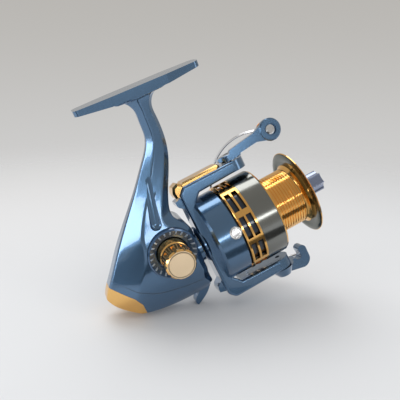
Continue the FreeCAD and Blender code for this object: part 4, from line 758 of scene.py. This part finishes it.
def build_world():
    """An even light on the reel, and a grey sweep for what the camera and the metal see."""
    world = bpy.data.worlds.new("Studio")
    world.use_nodes = True
    tree = world.node_tree
    tree.nodes.clear()
    place = new_node(tree, "ShaderNodeTexCoord")
    rise = new_node(tree, "ShaderNodeVectorMath", {"operation": "DOT_PRODUCT"},
                    {0: place.outputs["Generated"], 1: tuple(FLOOR_UP)})
    ramp = new_node(tree, "ShaderNodeMapRange", {"interpolation_type": "SMOOTHSTEP"},
                    {"Value": rise.outputs["Value"], "From Min": -0.35, "From Max": 0.15})
    sweep = new_node(tree, "ShaderNodeMix", {"data_type": "RGBA"})
    sweep.inputs[6].default_value = SWEEP_LOW
    sweep.inputs[7].default_value = SWEEP_HIGH
    tree.links.new(ramp.outputs["Result"], sweep.inputs[0])
    depth = new_node(tree, "ShaderNodeSeparateXYZ", None, {"Vector": place.outputs["Generated"]})
    room = new_node(tree, "ShaderNodeMapRange", {"interpolation_type": "SMOOTHSTEP"},
                    {"Value": depth.outputs["Y"], "From Min": -0.60, "From Max": -0.05,
                     "To Min": ROOM_SHADE, "To Max": 1.0})
    seen = new_node(tree, "ShaderNodeBackground", None,
                    {"Color": sweep.outputs[2], "Strength": room.outputs["Result"]})
    light = new_node(tree, "ShaderNodeBackground", None,
                     {"Color": ROOM_LIGHT, "Strength": ROOM_POWER})
    path = new_node(tree, "ShaderNodeLightPath")
    first = new_node(tree, "ShaderNodeMath", {"operation": "MAXIMUM"},
                     {0: path.outputs["Is Camera Ray"], 1: path.outputs["Is Glossy Ray"]})
    shown = new_node(tree, "ShaderNodeMath", {"operation": "MAXIMUM"},
                     {0: first.outputs[0], 1: path.outputs["Is Transmission Ray"]})
    mix = new_node(tree, "ShaderNodeMixShader", None, {"Fac": shown.outputs[0]})
    tree.links.new(light.outputs[0], mix.inputs[1])
    tree.links.new(seen.outputs[0], mix.inputs[2])
    out = new_node(tree, "ShaderNodeOutputWorld")
    tree.links.new(mix.outputs[0], out.inputs["Surface"])
    return world


bpy.context.scene.world = build_world()


# %% Dark card
CARD_NEAR = 0.065
CARD_FAR = 0.140
CARD_HALF = 0.35
CARD_LIFT = 2 * MM


def dark_card():
    """A dark card on the paper, in front of the reel. Only shiny metal sees it."""
    mesh = bpy.data.meshes.new("dark_card_mesh")
    shell = bmesh.new()
    lift = FLOOR_UP * (floor_level + CARD_LIFT)
    edges = ((-CARD_HALF, CARD_NEAR), (CARD_HALF, CARD_NEAR), (CARD_HALF, CARD_FAR),
             (-CARD_HALF, CARD_FAR))
    shell.faces.new([shell.verts.new(lift + SIDE * along - AWAY * ahead)
                     for along, ahead in edges])
    shell.to_mesh(mesh)
    shell.free()
    felt = bpy.data.materials.new("Dark felt")
    felt.use_nodes = True
    shader = felt.node_tree.nodes["Principled BSDF"]
    shader.inputs["Base Color"].default_value = (0.05, 0.05, 0.05, 1.0)
    shader.inputs["Roughness"].default_value = 0.9
    mesh.materials.append(felt)
    card = bpy.data.objects.new("dark_card", mesh)
    bpy.context.scene.collection.objects.link(card)
    card.visible_camera = False
    card.visible_diffuse = False
    card.visible_shadow = False


dark_card()


# %% Lamps
REEL_MIDDLE = (Vector(cad_box[0]) + Vector(cad_box[1])) / 2


def softbox(name, offset, width, height, power, warmth=(1.0, 1.0, 1.0)):
    """A rectangular lamp at an offset from the reel's middle, aimed at it."""
    lamp = bpy.data.lights.new(name, "AREA")
    lamp.shape = "RECTANGLE"
    lamp.size = width
    lamp.size_y = height
    lamp.energy = power
    lamp.color = warmth
    holder = bpy.data.objects.new(name, lamp)
    bpy.context.scene.collection.objects.link(holder)
    holder.location = REEL_MIDDLE + Vector(offset)
    holder.rotation_euler = (-Vector(offset)).to_track_quat("-Z", "Y").to_euler()
    holder.visible_camera = False
    return holder


softbox("lamp_top", (0.12, 0.30, 0.52), 0.55, 0.45, 2.3)
softbox("lamp_left", (-0.52, -0.12, 0.20), 0.12, 0.50, 1.1, (0.96, 0.98, 1.0))
softbox("lamp_right", (0.42, -0.42, 0.12), 0.14, 0.45, 0.4, (1.0, 0.98, 0.95))
softbox("lamp_front", (0.06, -0.60, 0.10), 0.30, 0.06, 0.35)
print("lamps: 4")

# %% Camera
CAMERA_AT = Vector((-0.0400, -0.2483, 0.0350))
LOOK = Vector((0.169, 0.910, -0.378)).normalized()
UP_HINT = Vector((0.464, 0.265, 0.846))

across = LOOK.cross(UP_HINT).normalized()
upward = across.cross(LOOK).normalized()
lens = bpy.data.cameras.new("camera")
lens.lens = 46.6
lens.sensor_width = 36.0
lens.clip_start = 0.01
camera = bpy.data.objects.new("camera", lens)
turn = Matrix((across, upward, -LOOK)).transposed().to_4x4()
camera.matrix_world = Matrix.Translation(CAMERA_AT) @ turn
bpy.context.scene.collection.objects.link(camera)
bpy.context.scene.camera = camera
bpy.context.scene.view_settings.view_transform = "Standard"
